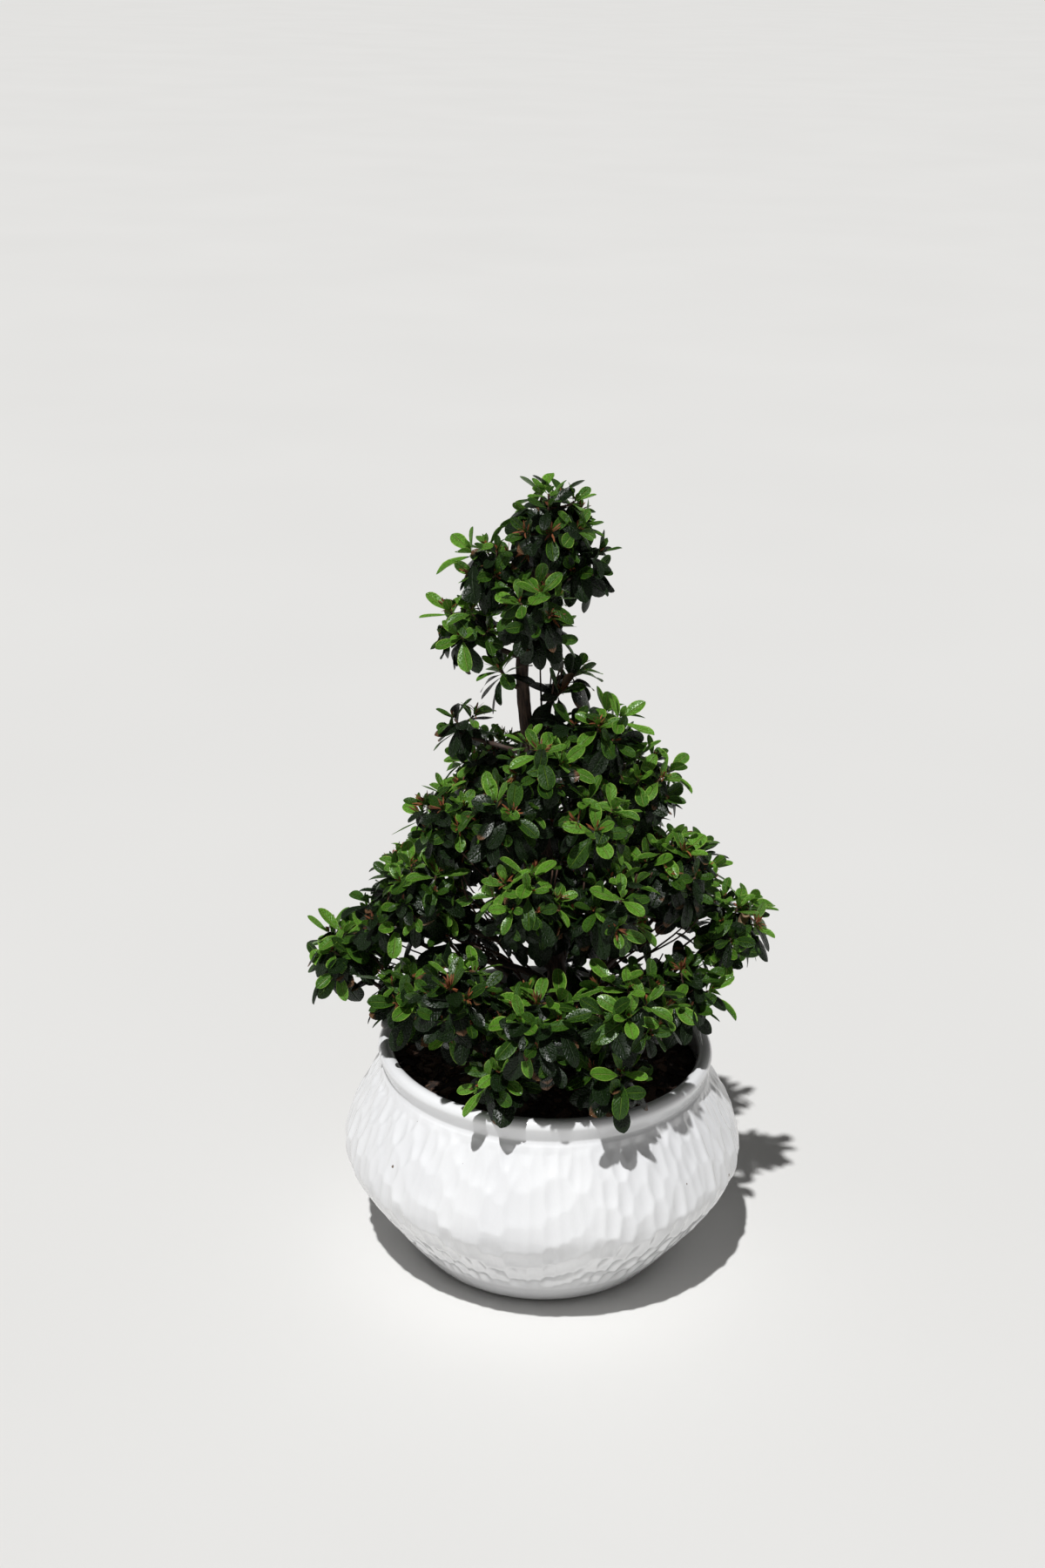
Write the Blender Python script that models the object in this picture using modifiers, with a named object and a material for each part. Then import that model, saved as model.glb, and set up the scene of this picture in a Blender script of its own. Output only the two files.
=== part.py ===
"""Azalea bonsai, trained as a tiered cone, in a round glazed bowl.

Origin at the middle of the bowl's flat underside, +Z up, -Y towards the front.
Metres throughout.  Each foliage mass is a stem that branches into three-sided
twigs, and each twig ends in a rosette of leaves fused to it.
"""

import math
import random

import bmesh
import bpy
from mathutils import Matrix, Vector
from mathutils.bvhtree import BVHTree

# ---------------------------------------------------------------- sizes

CLEARANCE = 0.0003            # gap left between two solids that touch
MERGE_DISTANCE = 0.00005      # for the poles of turned shapes
WELD_DISTANCE = 0.000001      # for the caps of limbs

# bowl
BOWL_HEIGHT = 0.2049
BELLY_RADIUS = 0.181
BELLY_HEIGHT = 0.1063
FOOT_RADIUS = 0.1106
FOOT_ROUNDING = 0.003
NECK_RADIUS = 0.1455
LIP_RADIUS = 0.1505
LIP_HEIGHT = 0.021            # upright outer face of the rolled lip
LIP_THICKNESS = 0.0135
LIP_UNDERCUT = 0.004          # height of the slope under the lip's outer face
NECK_HEIGHT = BOWL_HEIGHT - LIP_HEIGHT
WALL_THICKNESS = 0.010
FLOOR_THICKNESS = 0.014
LOWER_SOFTNESS = 0.36         # how far the belly turns before the wall runs straight
UPPER_SOFTNESS = 0.95
TURN_STEPS = 36

# soil
SOIL_HEIGHT = 0.182
SOIL_FLAT_RADIUS = 0.055
SOIL_SLOPE_RADIUS = 0.10
SOIL_SLOPE_DROP = 0.0016
SOIL_EDGE_DROP = 0.004
SOIL_GAP = CLEARANCE + 0.0002

# trunk: height above the soil, offset in x and y, radius
TRUNK_LINE = (
    (0.000, 0.0150, 0.000, 0.0160),
    (0.008, 0.0150, 0.000, 0.0124),
    (0.026, 0.0135, 0.001, 0.0100),
    (0.070, 0.0100, 0.003, 0.0084),
    (0.130, 0.0030, 0.004, 0.0073),
    (0.200, -0.0050, 0.002, 0.0065),
    (0.265, -0.0140, 0.000, 0.0060),
    (0.320, -0.0240, -0.001, 0.0056),
    (0.370, -0.0290, 0.000, 0.0051),
    (0.420, -0.0280, 0.001, 0.0043),
    (0.465, -0.0200, 0.001, 0.0033),
    (0.490, -0.0130, 0.000, 0.0025),
)
TRUNK_BEVEL_RESOLUTION = 3
BOUGH_BEVEL_RESOLUTION = 1

# boughs
BOUGH_BASE_RADIUS = 0.0036
BOUGH_TIP_RADIUS = 0.0018
BOUGH_POINTS = 6
BOUGH_LIFT = math.radians(58)  # how steeply a bough leaves the trunk
BOUGH_FOOT_PULL = 0.38        # of its span, how long it keeps the angle it leaves with
BOUGH_TIP_PULL = 0.34         # and how early it turns to the mass's stem

# stems and twigs; shares are of the mass's reach unless they say otherwise
STEM_RADIUS = 0.0020
STEM_TAPER = 0.9
HUB_DROP = 0.30               # the stem ends this far below the mass's centre
HUB_INSET = 0.10              # and this far in from it
STEM_DROP = 0.62              # a stem on a bough starts this far below the centre
STEM_INSET = 0.50             # and this far in from it
TRUNK_STEM_RISE = 0.35        # a stem on the trunk starts this share of its reach
TRUNK_STEM_CLIMB = 0.30       # and this share of its way out below the centre
LOWEST_STEM = 0.012           # above the soil
TOP_STEM = 0.010              # length of the stem on the trunk's tip
TWIG_RADIUS = 0.0009
BUD_RADIUS = 0.0023           # a twig's swollen end, in which the leaf roots are sunk
TWIG_START = 0.97             # of the stem's length, where its last twig leaves
TWIG_SPACING = 0.15           # of the stem's length, between one twig and the next
TWIG_SHORTEST = 0.30
TWIG_LEAF_ROOM = 0.78         # of a leaf's length, kept between twig's end and reach
POLE_TILT = math.radians(12)  # of the middle twig, from the mass's pole
RING_TILT = (math.radians(72), math.radians(96))
POLE_OUT = 0.75               # the pole of a mass leans this much outwards
POLE_UP = 0.65                # for this much upwards
ROSETTE_OUT = 0.55            # a rosette faces away from its mass's centre,
ROSETTE_UP = 0.62             # up
ROSETTE_AHEAD = 0.30          # and along its twig, in these shares

# leaves
LEAF_REACH = 0.92             # a leaf is never longer than this share of the reach
LEAF_LENGTH = 0.046
LEAF_WIDTH = 0.56             # of the length
LEAF_THICKNESS = 0.035        # of the length
LEAF_WIDEST = 0.58            # of the length, from the root
LEAF_TRIES = 6                # each try turns the leaf afresh and shortens it
LEAF_SHRINK = 0.06
ROSETTE_LEAVES = 5
LEAF_TILT_OLD = math.radians(102)     # from the twig's axis, the oldest leaf
LEAF_TILT_YOUNG = math.radians(36)    # and the youngest
LEAF_TILT_SPREAD = 0.14
LEAF_TURN_SPREAD = 0.12
LEAF_SIZE_SPREAD = 0.10
YOUNG_LEAF_SHORTER = 0.22     # of an old leaf's length
ROOT_SINK_OLD = 0.0018        # below the twig's end
ROOT_SINK_YOUNG = 0.0005
BLADE_FREE = 0.0022           # length of a leaf's root that may lie among its neighbours
LEAF_TURN = math.radians(144)
FUSE_SOLVER = "MANIFOLD"
SPACE_GAP = 0.0007            # kept on each side of the plane between two masses
LIMB_GAP = 0.0010             # kept from limbs
SEED = 31

# Masses of leaves: azimuth (0 right, 90 back, 180 left, 270 front), distance out
# from the trunk, height, reach, rosettes, and the height at which its bough
# leaves the trunk (None where the stem of the mass meets the trunk itself).
MASSES = {
    "top": (0, 0.006, 0.680, 0.053, 5, None),
    "top_left": (193, 0.041, 0.651, 0.042, 4, None),
    "top_right": (4, 0.038, 0.649, 0.041, 4, None),
    "top_front": (275, 0.038, 0.623, 0.044, 4, None),
    "top_low_left": (183, 0.046, 0.594, 0.045, 4, None),
    "top_low_right": (312, 0.025, 0.597, 0.038, 3, None),
    "top_back": (85, 0.040, 0.634, 0.048, 4, None),
    "tuft_left": (215, 0.016, 0.552, 0.029, 2, None),
    "tuft_right": (20, 0.043, 0.545, 0.029, 2, 0.436),
    "shoulder_left": (184, 0.052, 0.505, 0.035, 2, None),
    "shoulder_right": (344, 0.071, 0.511, 0.042, 4, None),
    "shoulder_front": (280, 0.052, 0.488, 0.046, 5, None),
    "shoulder_back": (82, 0.056, 0.458, 0.045, 4, None),
    "upper_left": (200, 0.083, 0.432, 0.046, 4, None),
    "upper_front": (250, 0.075, 0.450, 0.046, 4, None),
    "upper_front_right": (308, 0.083, 0.443, 0.047, 4, None),
    "upper_right": (0, 0.094, 0.456, 0.049, 4, None),
    "upper_back_right": (52, 0.085, 0.446, 0.052, 4, None),
    "upper_back_left": (122, 0.082, 0.436, 0.054, 4, None),
    "mid_left": (199, 0.113, 0.362, 0.049, 4, 0.266),
    "mid_front": (262, 0.114, 0.391, 0.050, 4, 0.288),
    "mid_front_right": (300, 0.116, 0.383, 0.048, 4, 0.282),
    "mid_right": (346, 0.114, 0.386, 0.051, 4, 0.290),
    "mid_back_right": (58, 0.118, 0.374, 0.061, 4, 0.262),
    "mid_back_left": (126, 0.116, 0.368, 0.061, 4, 0.275),
    "low_left": (180, 0.186, 0.284, 0.047, 4, 0.218),
    "low_upper_left": (190, 0.142, 0.336, 0.045, 4, 0.246),
    "low_right": (0, 0.159, 0.321, 0.048, 4, 0.226),
    "low_back_right": (40, 0.154, 0.322, 0.057, 4, 0.212),
    "low_back": (90, 0.162, 0.322, 0.059, 4, 0.224),
    "low_back_left": (140, 0.154, 0.312, 0.056, 4, 0.208),
    "skirt_left": (200, 0.138, 0.267, 0.047, 4, 0.199),
    "skirt_front_left": (237, 0.147, 0.302, 0.051, 4, 0.206),
    "skirt_front": (265, 0.147, 0.290, 0.052, 4, 0.198),
    "skirt_front_right": (295, 0.149, 0.305, 0.052, 4, 0.204),
    "skirt_right": (340, 0.116, 0.272, 0.048, 4, 0.197),
    "foot_left": (250, 0.145, 0.241, 0.041, 3, None),
    "foot_right": (287, 0.152, 0.246, 0.042, 3, None),
    "foot_back": (88, 0.118, 0.219, 0.038, 4, None),
}

# ---------------------------------------------------------------- scene and materials


def clear_scene():
    for obj in list(bpy.data.objects):
        bpy.data.objects.remove(obj, do_unlink=True)


def new_collection(name):
    collection = bpy.data.collections.new(name)
    bpy.context.scene.collection.children.link(collection)
    return collection


def material(name, colour, roughness, coat=0.0):
    made = bpy.data.materials.new(name)
    made.use_nodes = True
    shader = made.node_tree.nodes["Principled BSDF"]
    shader.inputs["Base Color"].default_value = (*colour, 1.0)
    shader.inputs["Roughness"].default_value = roughness
    shader.inputs["Metallic"].default_value = 0.0
    shader.inputs["Coat Weight"].default_value = coat
    made.diffuse_color = (*colour, 1.0)
    return made


def add_object(name, data, collection, finish=None):
    obj = bpy.data.objects.new(name, data)
    collection.objects.link(obj)
    if finish is not None:
        data.materials.append(finish)
    return obj


def evaluated_mesh(obj):
    depsgraph = bpy.context.evaluated_depsgraph_get()
    return bpy.data.meshes.new_from_object(obj.evaluated_get(depsgraph))


# ---------------------------------------------------------------- bowl and soil


def turn_in(share, softness):
    """How far the wall has come in, from 0 at the belly to 1 at its end."""
    return share * share * (1.0 + softness) / (share + softness)


def bowl_radius(height):
    """Outer radius of the bowl's body between its foot and its neck."""
    if height < BELLY_HEIGHT:
        share = (BELLY_HEIGHT - height) / BELLY_HEIGHT
        return BELLY_RADIUS - (BELLY_RADIUS - FOOT_RADIUS) * turn_in(share, LOWER_SOFTNESS)
    share = (height - BELLY_HEIGHT) / (NECK_HEIGHT - BELLY_HEIGHT)
    return BELLY_RADIUS - (BELLY_RADIUS - NECK_RADIUS) * turn_in(share, UPPER_SOFTNESS)


def inner_radius(height):
    """Inner radius of the bowl, a wall's thickness in from the outside."""
    mouth = LIP_RADIUS - LIP_THICKNESS
    if height >= NECK_HEIGHT:
        return mouth
    inside = bowl_radius(height) - WALL_THICKNESS
    if height > BELLY_HEIGHT:
        return max(mouth, inside)
    return inside


def inner_profile():
    """Radius and height up the inside of the bowl, from its floor to its mouth."""
    levels = (0.0, 0.18, 0.40, 0.62, 0.82, 1.0)
    rise = NECK_HEIGHT - FLOOR_THICKNESS
    heights = [FLOOR_THICKNESS + rise * level for level in levels]
    return [(inner_radius(height), height) for height in heights]


def bowl_profile():
    """From the middle of the floor up the inside, over the lip and down the outside."""
    points = [(0.0, FLOOR_THICKNESS)]
    points += inner_profile()
    lip_centre = LIP_RADIUS - LIP_THICKNESS / 2
    half = LIP_THICKNESS / 2
    for degrees in (180, 135, 90, 45, 0):
        angle = math.radians(degrees)
        points.append((lip_centre + half * math.cos(angle),
                       BOWL_HEIGHT - half + half * math.sin(angle)))
    points.append((LIP_RADIUS, NECK_HEIGHT + LIP_UNDERCUT))
    points.append((NECK_RADIUS, NECK_HEIGHT))
    for level in (0.80, 0.55, 0.28, 0.0):
        height = BELLY_HEIGHT + (NECK_HEIGHT - BELLY_HEIGHT) * level
        points.append((bowl_radius(height), height))
    for level in (0.82, 0.60, 0.34):
        height = BELLY_HEIGHT * level
        points.append((bowl_radius(height), height))
    points.append((FOOT_RADIUS + FOOT_ROUNDING / 2, FOOT_ROUNDING))
    points.append((FOOT_RADIUS - FOOT_ROUNDING / 2, 0.0))
    points.append((0.0, 0.0))
    return points


def soil_profile():
    """From the middle of the surface out to the wall, and down the inside of the bowl."""
    edge_height = SOIL_HEIGHT - SOIL_EDGE_DROP
    points = [(0.0, SOIL_HEIGHT), (SOIL_FLAT_RADIUS, SOIL_HEIGHT)]
    points.append((SOIL_SLOPE_RADIUS, SOIL_HEIGHT - SOIL_SLOPE_DROP))
    points.append((inner_radius(edge_height) - SOIL_GAP, edge_height))
    wall = [point for point in inner_profile() if point[1] < edge_height]
    for radius, height in reversed(wall[:-1]):
        points.append((radius - SOIL_GAP, max(height, FLOOR_THICKNESS + SOIL_GAP)))
    points.append((0.0, FLOOR_THICKNESS + SOIL_GAP))
    return points


def turned(name, profile, collection, finish):
    mesh = bpy.data.meshes.new(name)
    edges = [(i, i + 1) for i in range(len(profile) - 1)]
    mesh.from_pydata([(radius, 0.0, height) for radius, height in profile], edges, [])
    obj = add_object(name, mesh, collection, finish)
    screw = obj.modifiers.new("Turn", "SCREW")
    screw.axis = "Z"
    screw.steps = TURN_STEPS
    screw.render_steps = TURN_STEPS
    screw.use_merge_vertices = True
    screw.merge_threshold = MERGE_DISTANCE
    screw.use_smooth_shade = True
    return obj


# ---------------------------------------------------------------- limbs


def trunk_at(height):
    """Axis point and radius of the trunk at a height above the bowl's underside."""
    level = height - SOIL_HEIGHT
    rows = TRUNK_LINE
    if level <= rows[0][0]:
        return Vector((rows[0][1], rows[0][2], height)), rows[0][3]
    for below, above in zip(rows, rows[1:]):
        if level <= above[0]:
            share = (level - below[0]) / (above[0] - below[0])
            x, y, radius = (a + (b - a) * share for a, b in zip(below[1:], above[1:]))
            return Vector((x, y, height)), radius
    return Vector((rows[-1][1], rows[-1][2], height)), rows[-1][3]


def trunk_points():
    base = SOIL_HEIGHT + CLEARANCE
    return [Vector((x, y, base + level)) for level, x, y, _ in TRUNK_LINE]


def trunk_radii():
    return [radius for _, _, _, radius in TRUNK_LINE]


def limb_curve(name, points, radii, bevel_resolution, collection):
    """A tapering round limb: a poly curve with a radius at each point and closed ends."""
    curve = bpy.data.curves.new(name, "CURVE")
    curve.dimensions = "3D"
    curve.bevel_depth = 1.0
    curve.bevel_resolution = bevel_resolution
    curve.use_fill_caps = True
    spline = curve.splines.new("POLY")
    spline.points.add(len(points) - 1)
    for node, point, radius in zip(spline.points, points, radii):
        node.co = (*point, 1.0)
        node.radius = radius
    return add_object(name, curve, collection)


def limb(name, points, radii, bevel_resolution, collection, finish):
    """The same limb as a closed mesh, its caps welded on."""
    guide = limb_curve(name + "_line", points, radii, bevel_resolution, collection)
    mesh = evaluated_mesh(guide)
    curve = guide.data
    bpy.data.objects.remove(guide, do_unlink=True)
    bpy.data.curves.remove(curve)
    mesh.name = name
    shape = bmesh.new()
    shape.from_mesh(mesh)
    bmesh.ops.remove_doubles(shape, verts=shape.verts, dist=WELD_DISTANCE)
    bmesh.ops.recalc_face_normals(shape, faces=shape.faces)
    shape.to_mesh(mesh)
    shape.free()
    mesh.materials.clear()
    obj = add_object(name, mesh, collection, finish)
    mesh.shade_smooth()
    mesh.set_sharp_from_angle(angle=math.radians(60))
    return obj


def make_trunk(name, collection, finish, spare=0.0):
    """The trunk, or with spare > 0 the wider form that neighbours are cut back by."""
    points = trunk_points()
    radii = [radius + spare for radius in trunk_radii()]
    if spare > 0.0:
        points[0].z -= 0.002
        points[-1].z += spare
    return limb(name, points, radii, TRUNK_BEVEL_RESOLUTION, collection, finish)


def bezier(p0, p1, p2, p3, share):
    rest = 1.0 - share
    return (rest ** 3 * p0 + 3 * rest ** 2 * share * p1
            + 3 * rest * share ** 2 * p2 + share ** 3 * p3)


# ---------------------------------------------------------------- foliage layout


class Mass:
    """One mass of leaves: where it is, how far it reaches and what carries it."""

    def __init__(self, name, row):
        azimuth, out, height, reach, rosettes, bough_height = row
        self.name = name
        self.reach = reach
        self.rosettes = rosettes
        angle = math.radians(azimuth)
        self.outward = Vector((math.cos(angle), math.sin(angle), 0.0))
        axis, _ = trunk_at(height)
        self.centre = axis + self.outward * out
        self.centre.z = height
        self.bough_height = bough_height
        self.hub = self.centre - Vector((0, 0, HUB_DROP * reach))
        self.hub -= self.outward * (HUB_INSET * reach)
        if bough_height is not None:
            inward = self.outward * min(STEM_INSET * reach, out / 2)
            self.start = self.centre - inward - Vector((0, 0, STEM_DROP * reach))
        elif name == "top":
            before, tip = trunk_points()[-2:]
            ahead = (tip - before).normalized()
            self.start = tip + ahead * (2 * CLEARANCE)
            self.hub = self.start + ahead * TOP_STEM
        else:
            drop = TRUNK_STEM_RISE * reach + TRUNK_STEM_CLIMB * out
            self.start = trunk_at(max(height - drop, SOIL_HEIGHT + LOWEST_STEM))[0]
        self.heading = (self.hub - self.start).normalized()

    def holds(self, point, masses):
        """Whether a point is in this mass's space: within reach, on its side of the
        plane that parts it from each neighbour."""
        own = (point - self.centre).length_squared - self.reach ** 2
        if own > 0.0:
            return False
        for other in masses:
            if other is self:
                continue
            apart = (other.centre - self.centre).length
            if apart > self.reach + other.reach:
                continue
            theirs = (point - other.centre).length_squared - other.reach ** 2
            if theirs - own < 2.0 * SPACE_GAP * apart:
                return False
        return True


def bough_points(mass):
    """Centre line of a bough, from the trunk's axis to where the mass takes over."""
    foot, _ = trunk_at(mass.bough_height)
    tip = mass.start
    span = (tip - foot).length
    side = Vector((tip.x - foot.x, tip.y - foot.y, 0.0)).normalized()
    leave = side * math.cos(BOUGH_LIFT) + Vector((0, 0, math.sin(BOUGH_LIFT)))
    near = foot + leave * (BOUGH_FOOT_PULL * span)
    far = tip - mass.heading * (BOUGH_TIP_PULL * span)
    steps = [i / (BOUGH_POINTS - 1) for i in range(BOUGH_POINTS)]
    points = [bezier(foot, near, far, tip, step) for step in steps]
    points[-2] = tip - mass.heading * (points[-2] - tip).length
    return points


# ---------------------------------------------------------------- twigs and leaves


def turn_to(direction, up=Vector((0, 0, 1))):
    """Rotation that takes local Z to a direction and local Y as near to up as it can."""
    z_axis = direction.normalized()
    x_axis = up.cross(z_axis)
    if x_axis.length < 1e-4:
        x_axis = Vector((1, 0, 0))
    x_axis.normalize()
    y_axis = z_axis.cross(x_axis)
    return Matrix((x_axis, y_axis, z_axis)).transposed().to_4x4()


def twig_shape(start, end, start_radius, end_radius):
    """A three-sided tapering twig."""
    shape = bmesh.new()
    middle = (start + end) / 2
    place = Matrix.Translation(middle) @ turn_to(end - start)
    bmesh.ops.create_cone(shape, cap_ends=True, segments=3, radius1=start_radius,
                          radius2=end_radius, depth=(end - start).length, matrix=place)
    return shape


def leaf_shape(root, direction, face, length):
    """A flat leaf of eight faces, broadest beyond its middle."""
    shape = bmesh.new()
    place = Matrix.Translation(root + direction * (length / 2)) @ turn_to(direction, face)
    size = (LEAF_WIDTH * length / 2, LEAF_THICKNESS * length / 2, length / 2)
    stretch = Matrix.Diagonal((*size, 1.0))
    bmesh.ops.create_uvsphere(shape, u_segments=4, v_segments=2, radius=1.0,
                              matrix=place @ stretch)
    for vert in shape.verts:
        along = (vert.co - root).dot(direction) / length
        if 0.3 < along < 0.7:     # the ring between root and tip
            vert.co += direction * ((LEAF_WIDEST - 0.5) * length)
    return shape


def touches(shape, guards, skip):
    """Whether a shape cuts any guard but the ones to skip."""
    tree = BVHTree.FromBMesh(shape)
    for name, guard in guards.items():
        if name not in skip and tree.overlap(guard):
            return True
    return False


def fits(shape, mass, masses, guards, skip):
    """Whether a shape lies wholly in its mass's space and clear of every limb."""
    for vert in shape.verts:
        if not mass.holds(vert.co, masses):
            return False
    return not touches(shape, guards, skip)


def blade_tree(root, direction, face, length):
    """The part of a leaf beyond its root, for keeping leaves from cutting each other."""
    shape = leaf_shape(root + direction * BLADE_FREE, direction, face, length - BLADE_FREE)
    tree = BVHTree.FromBMesh(shape)
    shape.free()
    return tree


def rosette_tips(mass, rng):
    """Where the mass's twigs end: one out and up, the others in a ring round it."""
    pole = (mass.outward * POLE_OUT + Vector((0, 0, POLE_UP))).normalized()
    if mass.name == "top":
        pole = Vector((0, 0, 1))
    side = pole.orthogonal().normalized()
    length = leaf_length(mass)
    distance = max(TWIG_SHORTEST * mass.reach, mass.reach - TWIG_LEAF_ROOM * length)
    tips = []
    phase = rng.uniform(0.0, 2.0 * math.pi)
    for index in range(mass.rosettes):
        tilt = POLE_TILT if index == 0 else rng.uniform(*RING_TILT)
        turn = phase + index * 2.0 * math.pi / (mass.rosettes - 1)
        around = Matrix.Rotation(turn, 3, pole) @ side
        way = pole * math.cos(tilt) + around * math.sin(tilt)
        tips.append((mass.centre + way * distance, way))
    return tips


def leaf_length(mass):
    """Leaves are a little shorter than their mass reaches."""
    return min(LEAF_LENGTH, LEAF_REACH * mass.reach)


def rosette_leaf(tip, axis, turn, index, length, rng):
    """Root, direction, face and length of one leaf about a twig's end.  Leaves follow each
    other by two fifths of a turn, the first spreading or hanging, the last standing."""
    side = axis.orthogonal().normalized()
    turn += index * LEAF_TURN + rng.uniform(-LEAF_TURN_SPREAD, LEAF_TURN_SPREAD)
    around = Matrix.Rotation(turn, 3, axis) @ side
    young = index / (ROSETTE_LEAVES - 1)
    tilt = LEAF_TILT_OLD + (LEAF_TILT_YOUNG - LEAF_TILT_OLD) * young
    tilt += rng.uniform(-LEAF_TILT_SPREAD, LEAF_TILT_SPREAD)
    direction = (axis * math.cos(tilt) + around * math.sin(tilt)).normalized()
    face = (axis * math.sin(tilt) - around * math.cos(tilt)).normalized()
    size = length * (1.0 - YOUNG_LEAF_SHORTER * young) * rng.uniform(1.0 - LEAF_SIZE_SPREAD, 1.0)
    root = tip - axis * (ROOT_SINK_OLD + (ROOT_SINK_YOUNG - ROOT_SINK_OLD) * young)
    return root, direction, face, size


def stem_shape(mass):
    """The stem of a mass, a working gap clear of the bough that carries it."""
    start = mass.start
    if mass.bough_height is not None:
        start = mass.start + mass.heading * CLEARANCE
    return twig_shape(start, mass.hub, STEM_RADIUS, STEM_RADIUS * STEM_TAPER)


def grow(mass, masses, guards, rng):
    """Every twig and leaf of a mass beyond its stem, as separate closed shapes."""
    shapes = []
    blades = []
    own = ("stem_" + mass.name,)
    stem = stem_shape(mass)
    woods = [BVHTree.FromBMesh(stem)]
    stem.free()
    length = leaf_length(mass)
    buds = []
    for index, (tip, way) in enumerate(rosette_tips(mass, rng)):
        origin = mass.start.lerp(mass.hub, TWIG_START - TWIG_SPACING * index)
        twig = twig_shape(origin, tip, TWIG_RADIUS, BUD_RADIUS)
        skip = own + (("trunk",) if mass.name == "top" else ())
        if touches(twig, guards, skip):
            twig.free()
            continue
        shapes.append(twig)
        woods.append(BVHTree.FromBMesh(twig))
        axis = way * ROSETTE_OUT + Vector((0, 0, ROSETTE_UP))
        axis += (tip - origin).normalized() * ROSETTE_AHEAD
        buds.append((tip, axis.normalized(), rng.uniform(0.0, 2.0 * math.pi)))
    for index in range(ROSETTE_LEAVES):
        for tip, axis, turn in buds:
            for attempt in range(LEAF_TRIES):
                share = 1.0 - LEAF_SHRINK * attempt
                root, direction, face, size = rosette_leaf(tip, axis, turn, index, length, rng)
                blade = blade_tree(root, direction, face, size * share)
                if any(blade.overlap(other) for other in woods + blades):
                    continue
                leaf = leaf_shape(root, direction, face, size * share)
                if fits(leaf, mass, masses, guards, own):
                    shapes.append(leaf)
                    blades.append(blade)
                    break
                leaf.free()
    return shapes


def keep_largest(shape):
    """Drop loose scraps, keeping the body with most faces."""
    left = set(shape.verts)
    best = set()
    while left:
        seed = left.pop()
        island = {seed}
        front = [seed]
        while front:
            vert = front.pop()
            for edge in vert.link_edges:
                other = edge.other_vert(vert)
                if other not in island:
                    island.add(other)
                    front.append(other)
        left -= island
        if len(island) > len(best):
            best = island
    bmesh.ops.delete(shape, geom=[v for v in shape.verts if v not in best], context="VERTS")


def fuse(name, stem, shapes, collection, finish):
    """Join a mass's stem, twigs and leaves into one closed body."""
    mesh = bpy.data.meshes.new(name)
    stem.to_mesh(mesh)
    stem.free()
    obj = add_object(name, mesh, collection, finish)
    pieces = new_collection(name + "_pieces")
    for shape in shapes:
        piece_mesh = bpy.data.meshes.new("piece")
        shape.to_mesh(piece_mesh)
        shape.free()
        add_object("piece", piece_mesh, pieces)
    union = obj.modifiers.new("Fuse", "BOOLEAN")
    union.operation = "UNION"
    union.operand_type = "COLLECTION"
    union.collection = pieces
    union.solver = FUSE_SOLVER
    joined = evaluated_mesh(obj)
    obj.modifiers.clear()
    for piece in list(pieces.objects):
        piece_mesh = piece.data
        bpy.data.objects.remove(piece, do_unlink=True)
        bpy.data.meshes.remove(piece_mesh)
    bpy.data.collections.remove(pieces)
    shape = bmesh.new()
    shape.from_mesh(joined)
    keep_largest(shape)
    bmesh.ops.triangulate(shape, faces=shape.faces)
    shape.to_mesh(mesh)
    shape.free()
    bpy.data.meshes.remove(joined)
    mesh.materials.clear()
    mesh.materials.append(finish)
    return obj


def guard_tree(points, radii):
    """A six-sided sleeve round a limb, a little wider than it, for leaves to keep out of."""
    verts = []
    faces = []
    for index, (point, radius) in enumerate(zip(points, radii)):
        ahead = points[min(index + 1, len(points) - 1)] - points[max(index - 1, 0)]
        frame = turn_to(ahead).to_3x3()
        for corner in range(6):
            angle = corner * math.pi / 3
            spoke = frame @ Vector((math.cos(angle), math.sin(angle), 0.0))
            verts.append(point + spoke * ((radius + LIMB_GAP) / math.cos(math.pi / 6)))
        if index:
            for corner in range(6):
                after = (corner + 1) % 6
                low, high = (index - 1) * 6, index * 6
                faces.append((low + corner, low + after, high + after, high + corner))
    faces.append(tuple(range(5, -1, -1)))
    last = (len(points) - 1) * 6
    faces.append(tuple(range(last, last + 6)))
    return BVHTree.FromPolygons(verts, faces)


def mesh_tree(obj):
    mesh = evaluated_mesh(obj)
    verts = [vert.co.copy() for vert in mesh.vertices]
    faces = [tuple(face.vertices) for face in mesh.polygons]
    bpy.data.meshes.remove(mesh)
    return BVHTree.FromPolygons(verts, faces)


def cut_back(obj, cutter):
    """Cut an object back by a neighbour's clearance shape."""
    cut = obj.modifiers.new("Clear", "BOOLEAN")
    cut.operation = "DIFFERENCE"
    cut.object = cutter
    cut.solver = "EXACT"


# ---------------------------------------------------------------- build


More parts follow.
